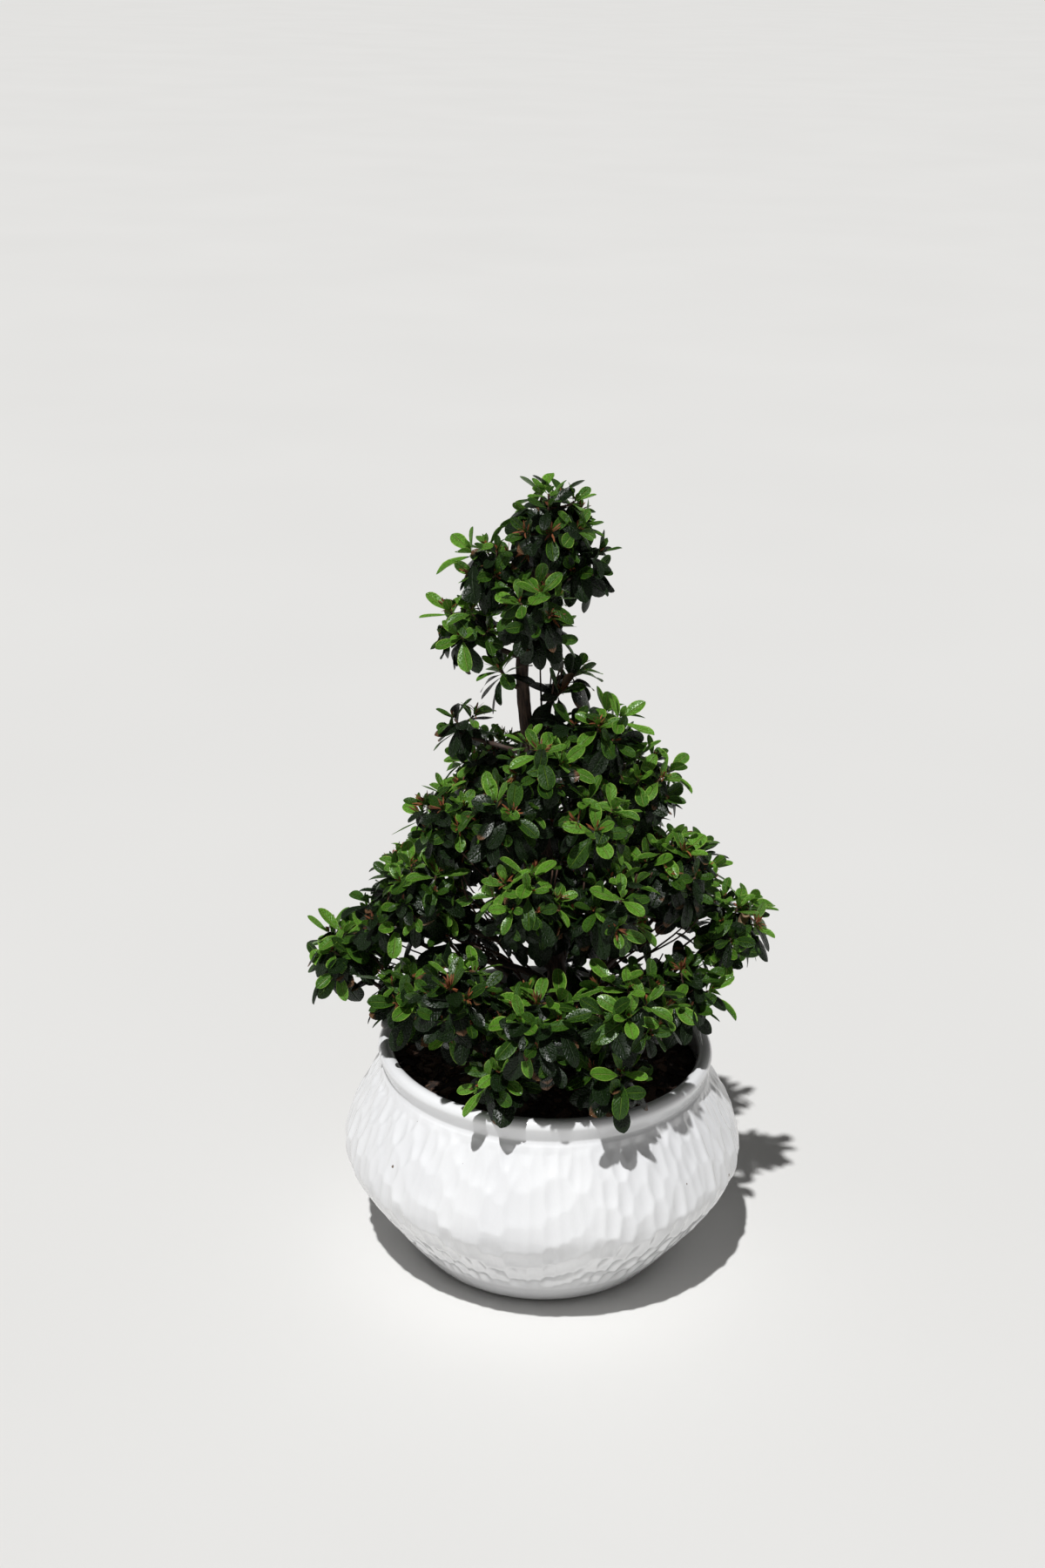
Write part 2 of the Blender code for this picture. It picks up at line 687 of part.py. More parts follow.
def main():
    clear_scene()
    parts = new_collection("azalea_bonsai")
    cutters = new_collection("cutters")
    glaze = material("white_glaze", (0.86, 0.86, 0.84), 0.12, coat=0.6)
    earth = material("potting_soil", (0.035, 0.022, 0.015), 0.95)
    bark = material("azalea_bark", (0.11, 0.062, 0.042), 0.85)
    foliage = material("azalea_leaf", (0.065, 0.17, 0.035), 0.35, coat=0.3)

    turned("pot", bowl_profile(), parts, glaze)
    turned("soil", soil_profile(), parts, earth)
    make_trunk("trunk", parts, bark)
    clearance = make_trunk("trunk_clearance", cutters, None, spare=CLEARANCE)
    clearance.display_type = "WIRE"
    clearance.hide_render = True

    masses = [Mass(name, row) for name, row in MASSES.items()]
    guards = {"trunk": guard_tree(trunk_points(), trunk_radii())}
    for bowl in ("pot", "soil"):
        guards[bowl] = mesh_tree(bpy.data.objects[bowl])
    for mass in masses:
        if mass.bough_height is not None:
            points = bough_points(mass)
            name = "bough_" + mass.name
            base, tip = BOUGH_BASE_RADIUS, BOUGH_TIP_RADIUS
            radii = [base + (tip - base) * i / (len(points) - 1) for i in range(len(points))]
            bough = limb(name, points, radii, BOUGH_BEVEL_RESOLUTION, parts, bark)
            cut_back(bough, clearance)
            guards[name] = guard_tree(points, radii)
        ends = (mass.start, mass.hub)
        guards["stem_" + mass.name] = guard_tree(ends, (STEM_RADIUS, STEM_RADIUS))

    for number, mass in enumerate(masses):
        rng = random.Random(SEED * 1000 + number)
        shapes = grow(mass, masses, guards, rng)
        leaves = fuse("leaves_" + mass.name, stem_shape(mass), shapes, parts, foliage)
        if mass.bough_height is None and mass.name != "top":
            cut_back(leaves, clearance)


main()
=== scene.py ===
"""Azalea bonsai in a carved white bowl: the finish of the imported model.

Metres, in the model's own frame: the bowl's underside at the origin, +Z up, -Y to the front.
Foliage grows by the same rule as its solids, with real-size leaves and finer twigs.
"""

import math
import random

import bpy
import numpy as np
from mathutils import Matrix, Vector, noise


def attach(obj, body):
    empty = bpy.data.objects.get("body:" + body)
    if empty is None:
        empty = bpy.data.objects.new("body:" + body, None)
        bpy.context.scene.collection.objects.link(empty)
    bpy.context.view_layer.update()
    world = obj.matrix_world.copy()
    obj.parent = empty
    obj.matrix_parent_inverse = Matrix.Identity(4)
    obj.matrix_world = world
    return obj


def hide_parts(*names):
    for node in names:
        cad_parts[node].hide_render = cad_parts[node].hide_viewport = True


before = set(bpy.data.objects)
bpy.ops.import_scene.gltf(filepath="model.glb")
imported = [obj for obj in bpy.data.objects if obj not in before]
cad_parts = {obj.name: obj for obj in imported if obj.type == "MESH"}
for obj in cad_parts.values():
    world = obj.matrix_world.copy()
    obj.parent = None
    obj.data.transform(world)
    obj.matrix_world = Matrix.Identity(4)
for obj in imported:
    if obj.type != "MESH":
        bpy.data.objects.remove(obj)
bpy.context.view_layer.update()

SEED = 31
TURN = 2.0 * math.pi
UP = Vector((0, 0, 1))

# ---- sizes shared with the solids

BOWL_HEIGHT = 0.2049
BELLY_RADIUS = 0.181
BELLY_HEIGHT = 0.1063
FOOT_RADIUS = 0.1106
NECK_RADIUS = 0.1455
LIP_RADIUS = 0.1505
LIP_HEIGHT = 0.021
LIP_THICKNESS = 0.0135
MOUTH_RADIUS = LIP_RADIUS - LIP_THICKNESS
NECK_HEIGHT = BOWL_HEIGHT - LIP_HEIGHT
WALL_THICKNESS = 0.01
FLOOR_THICKNESS = 0.014
LOWER_SOFTNESS = 0.36
UPPER_SOFTNESS = 0.95
SOIL_HEIGHT = 0.182
SOIL_EDGE_DROP = 0.004

# trunk: height above the soil, x, y and radius
TRUNK_LINE = (
    (0.0, 0.015, 0.0, 0.016),
    (0.008, 0.015, 0.0, 0.0124),
    (0.026, 0.0135, 0.001, 0.01),
    (0.07, 0.01, 0.003, 0.0084),
    (0.13, 0.003, 0.004, 0.0073),
    (0.2, -0.005, 0.002, 0.0065),
    (0.265, -0.014, 0.0, 0.006),
    (0.32, -0.024, -0.001, 0.0056),
    (0.37, -0.029, 0.0, 0.0051),
    (0.42, -0.028, 0.001, 0.0043),
    (0.465, -0.02, 0.001, 0.0033),
    (0.49, -0.013, 0.0, 0.0025),
)

BOUGH_BASE_RADIUS = 0.0036
BOUGH_TIP_RADIUS = 0.0018
BOUGH_LIFT = math.radians(58)
BOUGH_FOOT_PULL = 0.38
BOUGH_TIP_PULL = 0.34
STEM_RADIUS = 0.002
HUB_DROP = 0.3
HUB_INSET = 0.1
STEM_DROP = 0.62
STEM_INSET = 0.5
TRUNK_STEM_RISE = 0.35
TRUNK_STEM_CLIMB = 0.3
LOWEST_STEM = 0.012
TOP_STEM = 0.01
TWIG_START = 0.97
TWIG_SPACING = 0.15
POLE_TILT = math.radians(12)
RING_TILT = (math.radians(72), math.radians(96))
POLE_OUT = 0.75
POLE_UP = 0.65
ROSETTE_OUT = 0.55
ROSETTE_UP = 0.62
ROSETTE_AHEAD = 0.3
LEAF_TURN = math.radians(144)

# Masses of leaves: azimuth (0 right, 90 back, 180 left, 270 front) and main twigs, then in
# millimetres how far out from the trunk, how high, its reach, and the height at which its
# bough leaves the trunk (none where its own stem meets the trunk).
MASSES = {
    "top": (0, 5, 6, 680, 53),
    "top_left": (193, 4, 41, 651, 42),
    "top_right": (4, 4, 38, 649, 41),
    "top_front": (275, 4, 38, 623, 44),
    "top_low_left": (183, 4, 46, 594, 45),
    "top_low_right": (312, 3, 25, 597, 38),
    "top_back": (85, 4, 40, 634, 48),
    "tuft_left": (215, 2, 16, 552, 29),
    "tuft_right": (20, 2, 43, 545, 29, 436),
    "shoulder_left": (184, 2, 52, 505, 35),
    "shoulder_right": (344, 4, 71, 511, 42),
    "shoulder_front": (280, 5, 52, 488, 46),
    "shoulder_back": (82, 4, 56, 458, 45),
    "upper_left": (200, 4, 83, 432, 46),
    "upper_front": (250, 4, 75, 450, 46),
    "upper_front_right": (308, 4, 83, 443, 47),
    "upper_right": (0, 4, 94, 456, 49),
    "upper_back_right": (52, 4, 85, 446, 52),
    "upper_back_left": (122, 4, 82, 436, 54),
    "mid_left": (199, 4, 113, 362, 49, 266),
    "mid_front": (262, 4, 114, 391, 50, 288),
    "mid_front_right": (300, 4, 116, 383, 48, 282),
    "mid_right": (346, 4, 114, 386, 51, 290),
    "mid_back_right": (58, 4, 118, 374, 61, 262),
    "mid_back_left": (126, 4, 116, 368, 61, 275),
    "low_left": (180, 4, 186, 284, 47, 218),
    "low_upper_left": (190, 4, 142, 336, 45, 246),
    "low_right": (0, 4, 159, 321, 48, 226),
    "low_back_right": (40, 4, 154, 322, 57, 212),
    "low_back": (90, 4, 162, 322, 59, 224),
    "low_back_left": (140, 4, 154, 312, 56, 208),
    "skirt_left": (200, 4, 138, 267, 47, 199),
    "skirt_front_left": (237, 4, 147, 302, 51, 206),
    "skirt_front": (265, 4, 147, 290, 52, 198),
    "skirt_front_right": (295, 4, 149, 305, 52, 204),
    "skirt_right": (340, 4, 116, 272, 48, 197),
    "foot_left": (250, 3, 145, 241, 41),
    "foot_right": (287, 3, 152, 246, 42),
    "foot_back": (88, 4, 118, 219, 38),
}

# ---- mesh helpers

ASKEW = (0.13, 0.99, 0.05)  # a way that no limb runs


class Pile:
    """Many small shapes of one kind, joined into one mesh."""

    def __init__(self, name):
        self.name = name
        self.shapes = []
        self.total = 0

    def add(self, points, faces, uvs):
        self.shapes.append((points, faces + self.total, uvs))
        self.total += len(points)

    def build(self, finish, slot, nodes):
        return piece(self.name, *map(np.concatenate, zip(*self.shapes)), finish, slot, nodes)


def placed(name, data):
    """A new object in the scene."""
    obj = bpy.data.objects.new(name, data)
    bpy.context.scene.collection.objects.link(obj)
    return obj


def piece(name, points, faces, uvs, finish, slot, nodes):
    """A mesh that stands for some nodes of the model. A face has four corners, of which a
    triangle repeats one."""
    corners = [tuple(dict.fromkeys(face)) for face in faces.tolist()]
    mesh = bpy.data.meshes.new(name)
    mesh.from_pydata(points.tolist(), [], corners)
    if uvs is not None:
        corner = np.zeros(len(mesh.loops), dtype=np.int32)
        mesh.loops.foreach_get("vertex_index", corner)
        layer = mesh.uv_layers.new(name="UVMap")
        layer.data.foreach_set("uv", uvs.astype(np.float32)[corner].ravel())
    mesh.shade_smooth()
    mesh.materials.append(finish)
    obj = placed(name, mesh)
    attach(obj, "root")
    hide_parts(*nodes)
    return obj


def grid_faces(rows, columns, closed):
    """Quads of a grid of points; closed joins each row's end to its start."""
    here = np.arange(rows * columns).reshape(rows, columns)
    after = np.roll(here, -1, axis=1)
    quads = np.stack([here[:-1], after[:-1], after[1:], here[1:]], -1)
    return (quads if closed else quads[:, :-1]).reshape(-1, 4)


def shell_faces(rows, columns):
    """Faces of a grid closed round, and triangles from its first and last rows to two more
    points, which come after its own."""
    first = np.arange(columns)
    after = np.roll(first, -1)
    last = (rows - 1) * columns
    middle = np.full(columns, rows * columns)
    return np.vstack([grid_faces(rows, columns, closed=True),
                      np.stack([after, first, middle, middle], -1),
                      np.stack([last + first, last + after, middle + 1, middle + 1], -1)])


def unit(vector):
    return vector / np.linalg.norm(vector)


def lengths_along(points):
    """How far along its line each point is."""
    return np.concatenate([[0.0], np.cumsum(np.linalg.norm(np.diff(points, axis=0), axis=1))])


def as_array(points):
    return np.array([tuple(point) for point in points])


def smooth_path(points, steps):
    """A Catmull-Rom curve through points, in steps from each to the next. A radius can ride
    along as a fourth coordinate."""
    points = np.array(points)
    padded = np.vstack([2 * points[0] - points[1], points, 2 * points[-1] - points[-2]])
    t = (np.arange(steps) / steps)[:, None]
    path = [0.5 * (2 * b + (c - a) * t + (2 * a - 5 * b + 4 * c - d) * t ** 2
                   + (3 * b - a - 3 * c + d) * t ** 3)
            for a, b, c, d in zip(padded, padded[1:], padded[2:], padded[3:])]
    return np.vstack([*path, points[-1]])


def carried_frames(path):
    """Two unit vectors across a path at each point, without twist."""
    ahead = np.gradient(path, axis=0)
    side = unit(np.cross(ahead[0], ASKEW))
    frames = []
    for way in map(unit, ahead):
        side = unit(side - way * side.dot(way))
        frames.append((side, np.cross(way, side)))
    return np.array(frames).swapaxes(0, 1)


def tube(path, radii, sides, relief=None):
    """Points, faces and UVs of a round limb along a path, its ends closed.
    relief(angles, run) gives each point's radius as a share of the limb's."""
    across, up = carried_frames(path)
    angles = np.linspace(0.0, TURN, sides, endpoint=False)
    run = lengths_along(path)
    share = np.ones((len(path), sides)) if relief is None else relief(angles, run)
    cos, sin = np.cos(angles)[:, None], np.sin(angles)[:, None]
    ring = cos * across[:, None] + sin * up[:, None]
    points = path[:, None] + ring * (np.asarray(radii)[:, None] * share)[:, :, None]
    uvs = np.zeros((len(path), sides, 2))
    uvs[:, :, 0] = angles * float(np.mean(radii))
    uvs[:, :, 1] = run[:, None]
    points = np.vstack([points.reshape(-1, 3), path[0], path[-1]])
    uvs = np.vstack([uvs.reshape(-1, 2), (0.0, 0.0), (0.0, run[-1])])
    return points, shell_faces(len(path), sides), uvs


# ---- materials: colours are linear, noise scales are to the metre

GLAZE_THIN, GLAZE_THICK = (0.78, 0.785, 0.8), (0.83, 0.835, 0.845)
GLAZE_SPECK = (0.16, 0.12, 0.09)
SOIL_DARK, SOIL_LIGHT = (0.01, 0.007, 0.005), (0.055, 0.032, 0.02)
SOIL_CRUMB = (0.12, 0.075, 0.05)
CHIP_DARK, CHIP_LIGHT = (0.034, 0.019, 0.012), (0.24, 0.13, 0.08)
CHIP_PALE, CHIP_GRAIN = (0.33, 0.25, 0.17), (0.018, 0.011, 0.008)
CHIP_STRETCH = (400.0, 160.0, 300.0)
BARK_DARK, BARK_LIGHT = (0.028, 0.016, 0.012), (0.105, 0.062, 0.045)
BARK_GREY = tuple(0.55 * value + 0.045 for value in BARK_LIGHT)
BARK_CRACK = (0.01, 0.006, 0.005)
BARK_STRETCH = (420.0, 60.0, 1.0)  # round the limb and along it
FLOOR_DARK, FLOOR_LIGHT = (0.69, 0.685, 0.672), (0.73, 0.725, 0.712)

# name, deep and bright green, rib, margin, roughness, wet, through, scorched share
LEAF_LOOKS = {
    "young": ("leaf_new", (0.026, 0.1, 0.006), (0.132, 0.325, 0.026),
              (0.28, 0.42, 0.085), (0.3, 0.48, 0.08), 0.3, 0.5, 0.2, 0.0),
    # The grown and old greens, which the hanging leaves share, are darker than the leaves' own
    # colour: partly painted shade of the crown's inside and underside.
    "mid": ("leaf_grown_and_shade", (0.005, 0.02, 0.002), (0.038, 0.106, 0.009),
            (0.1, 0.185, 0.022), (0.068, 0.16, 0.012), 0.34, 0.3, 0.06, 0.0),
    "old": ("leaf_old_and_shade", (0.0012, 0.004, 0.0007), (0.006, 0.018, 0.0028),
            (0.02, 0.04, 0.012), (0.009, 0.024, 0.005), 0.36, 0.3, 0.01, 0.16),
}
LEAF_SCORCHED = (0.13, 0.065, 0.03)
OWN_TONE, BLADE_TONE = 0.7, 0.45  # how far each leaf and each spot on it sets the tone
VEIN_TURNS = 62.0  # radians of side veins along a blade
VEIN_SLANT = 0.45  # how far they run forward
VEIN_PALER = 0.1
BEAD_SHINE = 0.7  # of the roughness that a bead of water takes away
BEAD_RISE, VEIN_RISE, RIB_RISE = 0.5, -0.12, -1.1  # shares of the bump's distance
LEAF_BUMP = 0.0011

# name, dark and light, noise scale, roughness
PLAIN_LOOKS = {
    "dry": ("leaf_dry", (0.08, 0.042, 0.022), (0.3, 0.2, 0.115), 240.0, 0.8),
    "bud": ("bud_scale", (0.055, 0.015, 0.005), (0.27, 0.078, 0.02), 300.0, 0.75),
    "twig": ("twig_bark", (0.03, 0.016, 0.011), (0.105, 0.052, 0.032), 160.0, 0.85),
}


def new_material(name):
    made = bpy.data.materials.new(name)
    made.use_nodes = True
    return made, made.node_tree, made.node_tree.nodes["Principled BSDF"]


def is_socket(value):
    return isinstance(value, bpy.types.NodeSocket)


def fill(made, inputs):
    """Links a node's inputs to sockets, or sets them to values."""
    for key, value in inputs.items():
        if is_socket(value):
            made.id_data.links.new(value, made.inputs[key])
        else:
            made.inputs[key].default_value = value


def node(kind, inputs, **settings):
    """A new node in the tree of the sockets among its inputs."""
    tree = next(filter(is_socket, inputs.values())).id_data
    made = tree.nodes.new(kind)
    for key, value in settings.items():
        setattr(made, key, value)
    fill(made, inputs)
    return made.outputs


def maths(operation, *values, clamp=False):
    return node("ShaderNodeMath", dict(enumerate(values)), operation=operation,
                use_clamp=clamp)[0]


def between(value, low, high):
    """0 below low, 1 above high, and smooth between them."""
    return node("ShaderNodeMapRange", {"Value": value, "From Min": low, "From Max": high},
                interpolation_type="SMOOTHSTEP")["Result"]


def mixed(factor, first, second):
    first, second = (value if is_socket(value) else (*value, 1.0) for value in (first, second))
    return node("ShaderNodeMix", {0: factor, 6: first, 7: second}, data_type="RGBA")[2]


def graded(value, low, high, first, second):
    """The first colour where value is under low, the second where it is over high."""
    return mixed(between(value, low, high), first, second)


def noise_value(vector, scale, detail=3.0, roughness=0.55):
    return node("ShaderNodeTexNoise", {"Vector": vector, "Scale": scale, "Detail": detail,
                                       "Roughness": roughness})[0]


def stretched(vector, scale):
    return node("ShaderNodeMapping", {"Vector": vector, "Scale": scale})[0]


def place_of(tree):
    return tree.nodes.new("ShaderNodeTexCoord").outputs["Object"]


def uv_of(tree):
    made = tree.nodes.new("ShaderNodeUVMap")
    made.uv_map = "UVMap"
    return made.outputs["UV"]


def own_value(tree):
    """A number from 0 to 1 of each chip's, leaf's or twig's own."""
    return tree.nodes.new("ShaderNodeNewGeometry").outputs["Random Per Island"]


def clothe(shader, colour, roughness, height, distance, strength=1.0):
    """Gives a shader its colour, its roughness and the height of its bumps."""
    bump = node("ShaderNodeBump", {"Height": height, "Distance": distance,
                                   "Strength": strength})
    fill(shader, {"Base Color": colour, "Roughness": roughness, "Normal": bump[0]})


def glaze_material():
    """White glaze, glossy, a little greyer where it thins, with a few specks."""
    made, tree, shader = new_material("white_glaze")
    place = place_of(tree)
    colour = graded(noise_value(place, 9.0, 2.0), 0.35, 0.7, GLAZE_THIN, GLAZE_THICK)
    colour = graded(noise_value(place, 95.0, 1.0), 0.795, 0.815, colour, GLAZE_SPECK)
    rough = maths("MULTIPLY_ADD", noise_value(place, 160.0), 0.1, 0.13)
    fill(shader, {"Coat Weight": 0.5, "Coat Roughness": 0.06})
    clothe(shader, colour, rough, noise_value(place, 60.0, 2.0), 0.0006, 0.35)
    return made


def soil_material():
    """Dark, crumbly potting mix."""
    made, tree, shader = new_material("potting_soil")
    place = place_of(tree)
    coarse = noise_value(place, 120.0, 5.0, 0.7)
    fine = noise_value(place, 700.0, 4.0, 0.7)
    colour = graded(coarse, 0.35, 0.68, SOIL_DARK, SOIL_LIGHT)
    colour = graded(fine, 0.6, 0.74, colour, SOIL_CRUMB)
    clothe(shader, colour, 0.95, maths("MULTIPLY_ADD", coarse, 2.0, fine), 0.0025)
    return made


def chip_material():
    """Bark chips, each its own brown."""
    made, tree, shader = new_material("bark_chips")
    each = own_value(tree)
    grain = noise_value(stretched(place_of(tree), CHIP_STRETCH), 1.0, 4.0)
    colour = graded(each, 0.15, 0.95, CHIP_DARK, CHIP_LIGHT)
    colour = graded(each, 0.955, 0.97, colour, CHIP_PALE)
    clothe(shader, mixed(grain, colour, CHIP_GRAIN), 0.85, grain, 0.001)
    return made


def bark_material():
    """Bark with lengthwise ridges, from the limb's UVs in metres."""
    made, tree, shader = new_material("bark")
    ridges = noise_value(stretched(uv_of(tree), BARK_STRETCH), 1.0, 5.0, 0.65)
    colour = graded(ridges, 0.36, 0.66, BARK_DARK, BARK_LIGHT)
    colour = graded(noise_value(place_of(tree), 55.0, 2.0), 0.55, 0.75, colour, BARK_GREY)
    colour = graded(ridges, 0.46, 0.3, colour, BARK_CRACK)
    clothe(shader, colour, 0.82, ridges, 0.0018)
    return made


def leaf_material(name, deep, bright, rib, margin, roughness, wet, through, scorched):
    """A leaf: mottled green, paler at its rib, stalk and margin, beaded with water.
    through is the share of light that passes it."""
    made, tree, shader = new_material(name)
    along, across, _ = node("ShaderNodeSeparateXYZ", {0: uv_of(tree)})
    off_rib = maths("ABSOLUTE", maths("SUBTRACT", across, 0.5))
    place = place_of(tree)
    each = own_value(tree)
    tone = maths("MULTIPLY", noise_value(place, 210.0), BLADE_TONE)
    tone = maths("MULTIPLY_ADD", each, OWN_TONE, tone, clamp=True)
    slanted = maths("SUBTRACT", along, maths("MULTIPLY", off_rib, VEIN_SLANT))
    veins = maths("SINE", maths("MULTIPLY", slanted, VEIN_TURNS))
    paler = maths("MULTIPLY", between(veins, 0.55, 1.0), VEIN_PALER)
    colour = mixed(paler, mixed(tone, deep, bright), rib)
    colour = graded(off_rib, 0.415, 0.49, colour, margin)
    colour = graded(off_rib, 0.045, 0.018, colour, rib)
    colour = graded(along, 0.15, 0.08, colour, rib)
    if scorched:
        burnt = maths("MULTIPLY", between(along, 0.84, 0.93),
                      maths("LESS_THAN", each, scorched))
        colour = mixed(burnt, colour, LEAF_SCORCHED)
    beads = between(noise_value(place, 680.0, 2.0, 0.6), 0.52, 0.66)
    rough = maths("MULTIPLY_ADD", beads, -roughness * BEAD_SHINE, roughness)
    height = maths("MULTIPLY", between(veins, 0.3, 1.0), VEIN_RISE)
    height = maths("MULTIPLY_ADD", beads, BEAD_RISE, height)
    height = maths("MULTIPLY_ADD", between(off_rib, 0.06, 0.0), RIB_RISE, height)
    fill(shader, {"Specular IOR Level": wet})
    clothe(shader, colour, rough, height, LEAF_BUMP)
    glow = node("ShaderNodeBsdfTranslucent", {"Color": colour})
    both = node("ShaderNodeMixShader", {0: through, 1: shader.outputs[0], 2: glow[0]})
    fill(tree.nodes["Material Output"], {"Surface": both[0]})
    return made


def plain_material(name, dark, light, scale, roughness):
    """A matt colour that varies along each part and between them."""
    made, tree, shader = new_material(name)
    grain = noise_value(place_of(tree), scale)
    tone = maths("MULTIPLY_ADD", own_value(tree), 0.6, maths("MULTIPLY", grain, 0.5),
                 clamp=True)
    clothe(shader, mixed(tone, dark, light), roughness, grain, 0.0006)
    return made


def floor_material():
    """A pale, matt floor with a hint of cloud."""
    made, tree, shader = new_material("pale_floor")
    broad = noise_value(place_of(tree), 1.3, 2.0)
    fill(shader, {"Base Color": mixed(broad, FLOOR_DARK, FLOOR_LIGHT), "Roughness": 0.9})
    return made


# ---- bowl

BOWL_SECTORS = 600
WALL_ROWS = 124
INSIDE_STEPS = 8
INSIDE_TOP = 0.006  # below the neck
MOUTH_RISE = 0.004  # above the neck
LIP_STEPS = 12
# under the lip: how far in from its radius, and how high
LIP_UNDERSIDE = ((0.0004, 0.1965), (0.0012, 0.194), (0.0022, 0.1912), (0.0034, 0.1882),
                 (0.0046, 0.1854), (0.0052, 0.1832))
WALL_TOP = NECK_HEIGHT - 0.003
WALL_FOOT = 0.004
FOOT_EDGE = ((0.0004, 0.0015), (0.002, 0.0))  # in from the foot's radius, and how high

# scoops carved in the bowl
SCOOP_COLUMNS = 100
SCOOP_HEIGHT = 0.0275
SCOOP_ROWS = 12
SCOOP_DEPTH = 0.0026
SCOOP_DEPTHS = (0.6, 1.2)  # each scoop's share of that
SCOOP_SHIFT = 0.34  # of a column, sideways either way
SCOOP_SLIDE = 0.3  # of a scoop's height, up or down
SCOOP_HALF_WIDTH = 0.8  # of a column
SCOOP_RUN_IN = 0.8  # gentle at its top
SCOOP_RUN_OUT = 0.54  # and round at its foot
SCOOP_SHARPNESS = 11.0  # lower is softer
SCOOP_FADE_TOP = 0.006  # below the neck
SCOOP_FOOT = 0.028  # only a trace of scoops below this height
SCOOP_FADE_FOOT = 0.015  # and full depth from this far above it
SCOOP_TRACE = 0.06


def bowl_radius(height):
    """Outer radius of the bowl's body between its foot and its neck."""
    if height < BELLY_HEIGHT:
        share = (BELLY_HEIGHT - height) / BELLY_HEIGHT
        end, softness = FOOT_RADIUS, LOWER_SOFTNESS
    else:
        share = (height - BELLY_HEIGHT) / (NECK_HEIGHT - BELLY_HEIGHT)
        end, softness = NECK_RADIUS, UPPER_SOFTNESS
    come_in = share * share * (1.0 + softness) / (share + softness)
    return BELLY_RADIUS - (BELLY_RADIUS - end) * come_in


def inner_radius(height):
    """Radius of the bowl's hollow."""
    if height >= NECK_HEIGHT:
        return MOUTH_RADIUS
    inside = bowl_radius(height) - WALL_THICKNESS
    return max(MOUTH_RADIUS, inside) if height > BELLY_HEIGHT else inside


def bowl_outline():
    """Radius, height and share of the scoops' depth, from inside over the lip to the foot."""
    outline = []
    inside_top = NECK_HEIGHT - INSIDE_TOP
    for height in np.linspace(FLOOR_THICKNESS, inside_top, INSIDE_STEPS + 1):
        outline.append((inner_radius(height), height, 0.0))
    outline.append((MOUTH_RADIUS, NECK_HEIGHT + MOUTH_RISE, 0.0))
    half = LIP_THICKNESS / 2
    for angle in np.linspace(math.pi, 0.0, LIP_STEPS + 1):
        outline.append((LIP_RADIUS - half + half * math.cos(angle),
                        BOWL_HEIGHT - half + half * math.sin(angle), 0.0))
    outline += [(LIP_RADIUS - inset, height, 0.0) for inset, height in LIP_UNDERSIDE]
    for height in np.linspace(WALL_TOP, WALL_FOOT, WALL_ROWS):
        fade_top = min(1.0, (WALL_TOP - height) / SCOOP_FADE_TOP)
        fade_foot = min(1.0, max(0.0, height - SCOOP_FOOT) / SCOOP_FADE_FOOT)
        carved = fade_top * (SCOOP_TRACE + (1.0 - SCOOP_TRACE) * fade_foot)
        outline.append((bowl_radius(height), height, carved))
    outline += [(FOOT_RADIUS - inset, height, 0.0) for inset, height in FOOT_EDGE]
    return np.array(outline)


def scoop_depth(turns, run):
    """Depth of the carving at turns round the bowl and metres down its wall."""
    rng = np.random.default_rng(SEED)
    grid = (SCOOP_COLUMNS, SCOOP_ROWS)
    phase = rng.uniform(0.0, 1.0, SCOOP_COLUMNS)
    shift = rng.uniform(-SCOOP_SHIFT, SCOOP_SHIFT, grid)
    slide = rng.uniform(-SCOOP_SLIDE, SCOOP_SLIDE, grid)
    deep = rng.uniform(*SCOOP_DEPTHS, grid)
    across = turns * SCOOP_COLUMNS
    down = run / SCOOP_HEIGHT
    total = np.ones_like(across)
    home = np.floor(across).astype(int)
    for side in (-1, 0, 1):
        column = (home + side) % SCOOP_COLUMNS
        level = np.floor(down - phase[column]).astype(int)
        for step in (-1, 0, 1):
            row = np.clip(level + step + 1, 0, SCOOP_ROWS - 1)
            x = across - (home + side + 0.5 + shift[column, row])
            y = down - (level + step + 0.5 + phase[column] + slide[column, row])
            long = np.where(y < 0.0, SCOOP_RUN_IN, SCOOP_RUN_OUT)
            far = (x / SCOOP_HALF_WIDTH) ** 2 + (y / long) ** 2
            cup = np.maximum(deep[column, row] * (1.0 - far), -1.0)
            total += np.exp(SCOOP_SHARPNESS * cup)
    return np.log(total) * (SCOOP_DEPTH / SCOOP_SHARPNESS)


def make_bowl(finish):
    outline = bowl_outline()
    turns = np.arange(BOWL_SECTORS) / BOWL_SECTORS
    around, down = np.meshgrid(turns, lengths_along(outline[:, :2]))
    radius, height, carved = (column[:, None] for column in outline.T)
    depth = scoop_depth(around, down) * carved
    slope = np.gradient(outline[:, :2], axis=0)
    slope /= np.linalg.norm(slope, axis=1, keepdims=True)
    radius = radius + depth * slope[:, 1:]
    height = height - depth * slope[:, :1]
    angle = around * TURN
    points = np.stack([radius * np.cos(angle), radius * np.sin(angle), height], -1)
    points = np.vstack([points.reshape(-1, 3), (0, 0, FLOOR_THICKNESS), (0, 0, 0)])
    faces = shell_faces(len(outline), BOWL_SECTORS)[:, ::-1]
    piece("bowl", points, faces, None, finish, "glaze", ["pot"])


# ---- soil

SOIL_SECTORS = 200
SOIL_RINGS = 64
SOIL_EDGE_GAP = 0.0003
SOIL_SKIRT = 0.03  # how deep the bed's own edge goes
SOIL_SETTLED = 0.003  # keeps lumps inside the solid
SOIL_LUMPS = ((38.0, 4.0, 0.0022), (150.0, 9.0, 0.0011))  # noise scale, seed and height

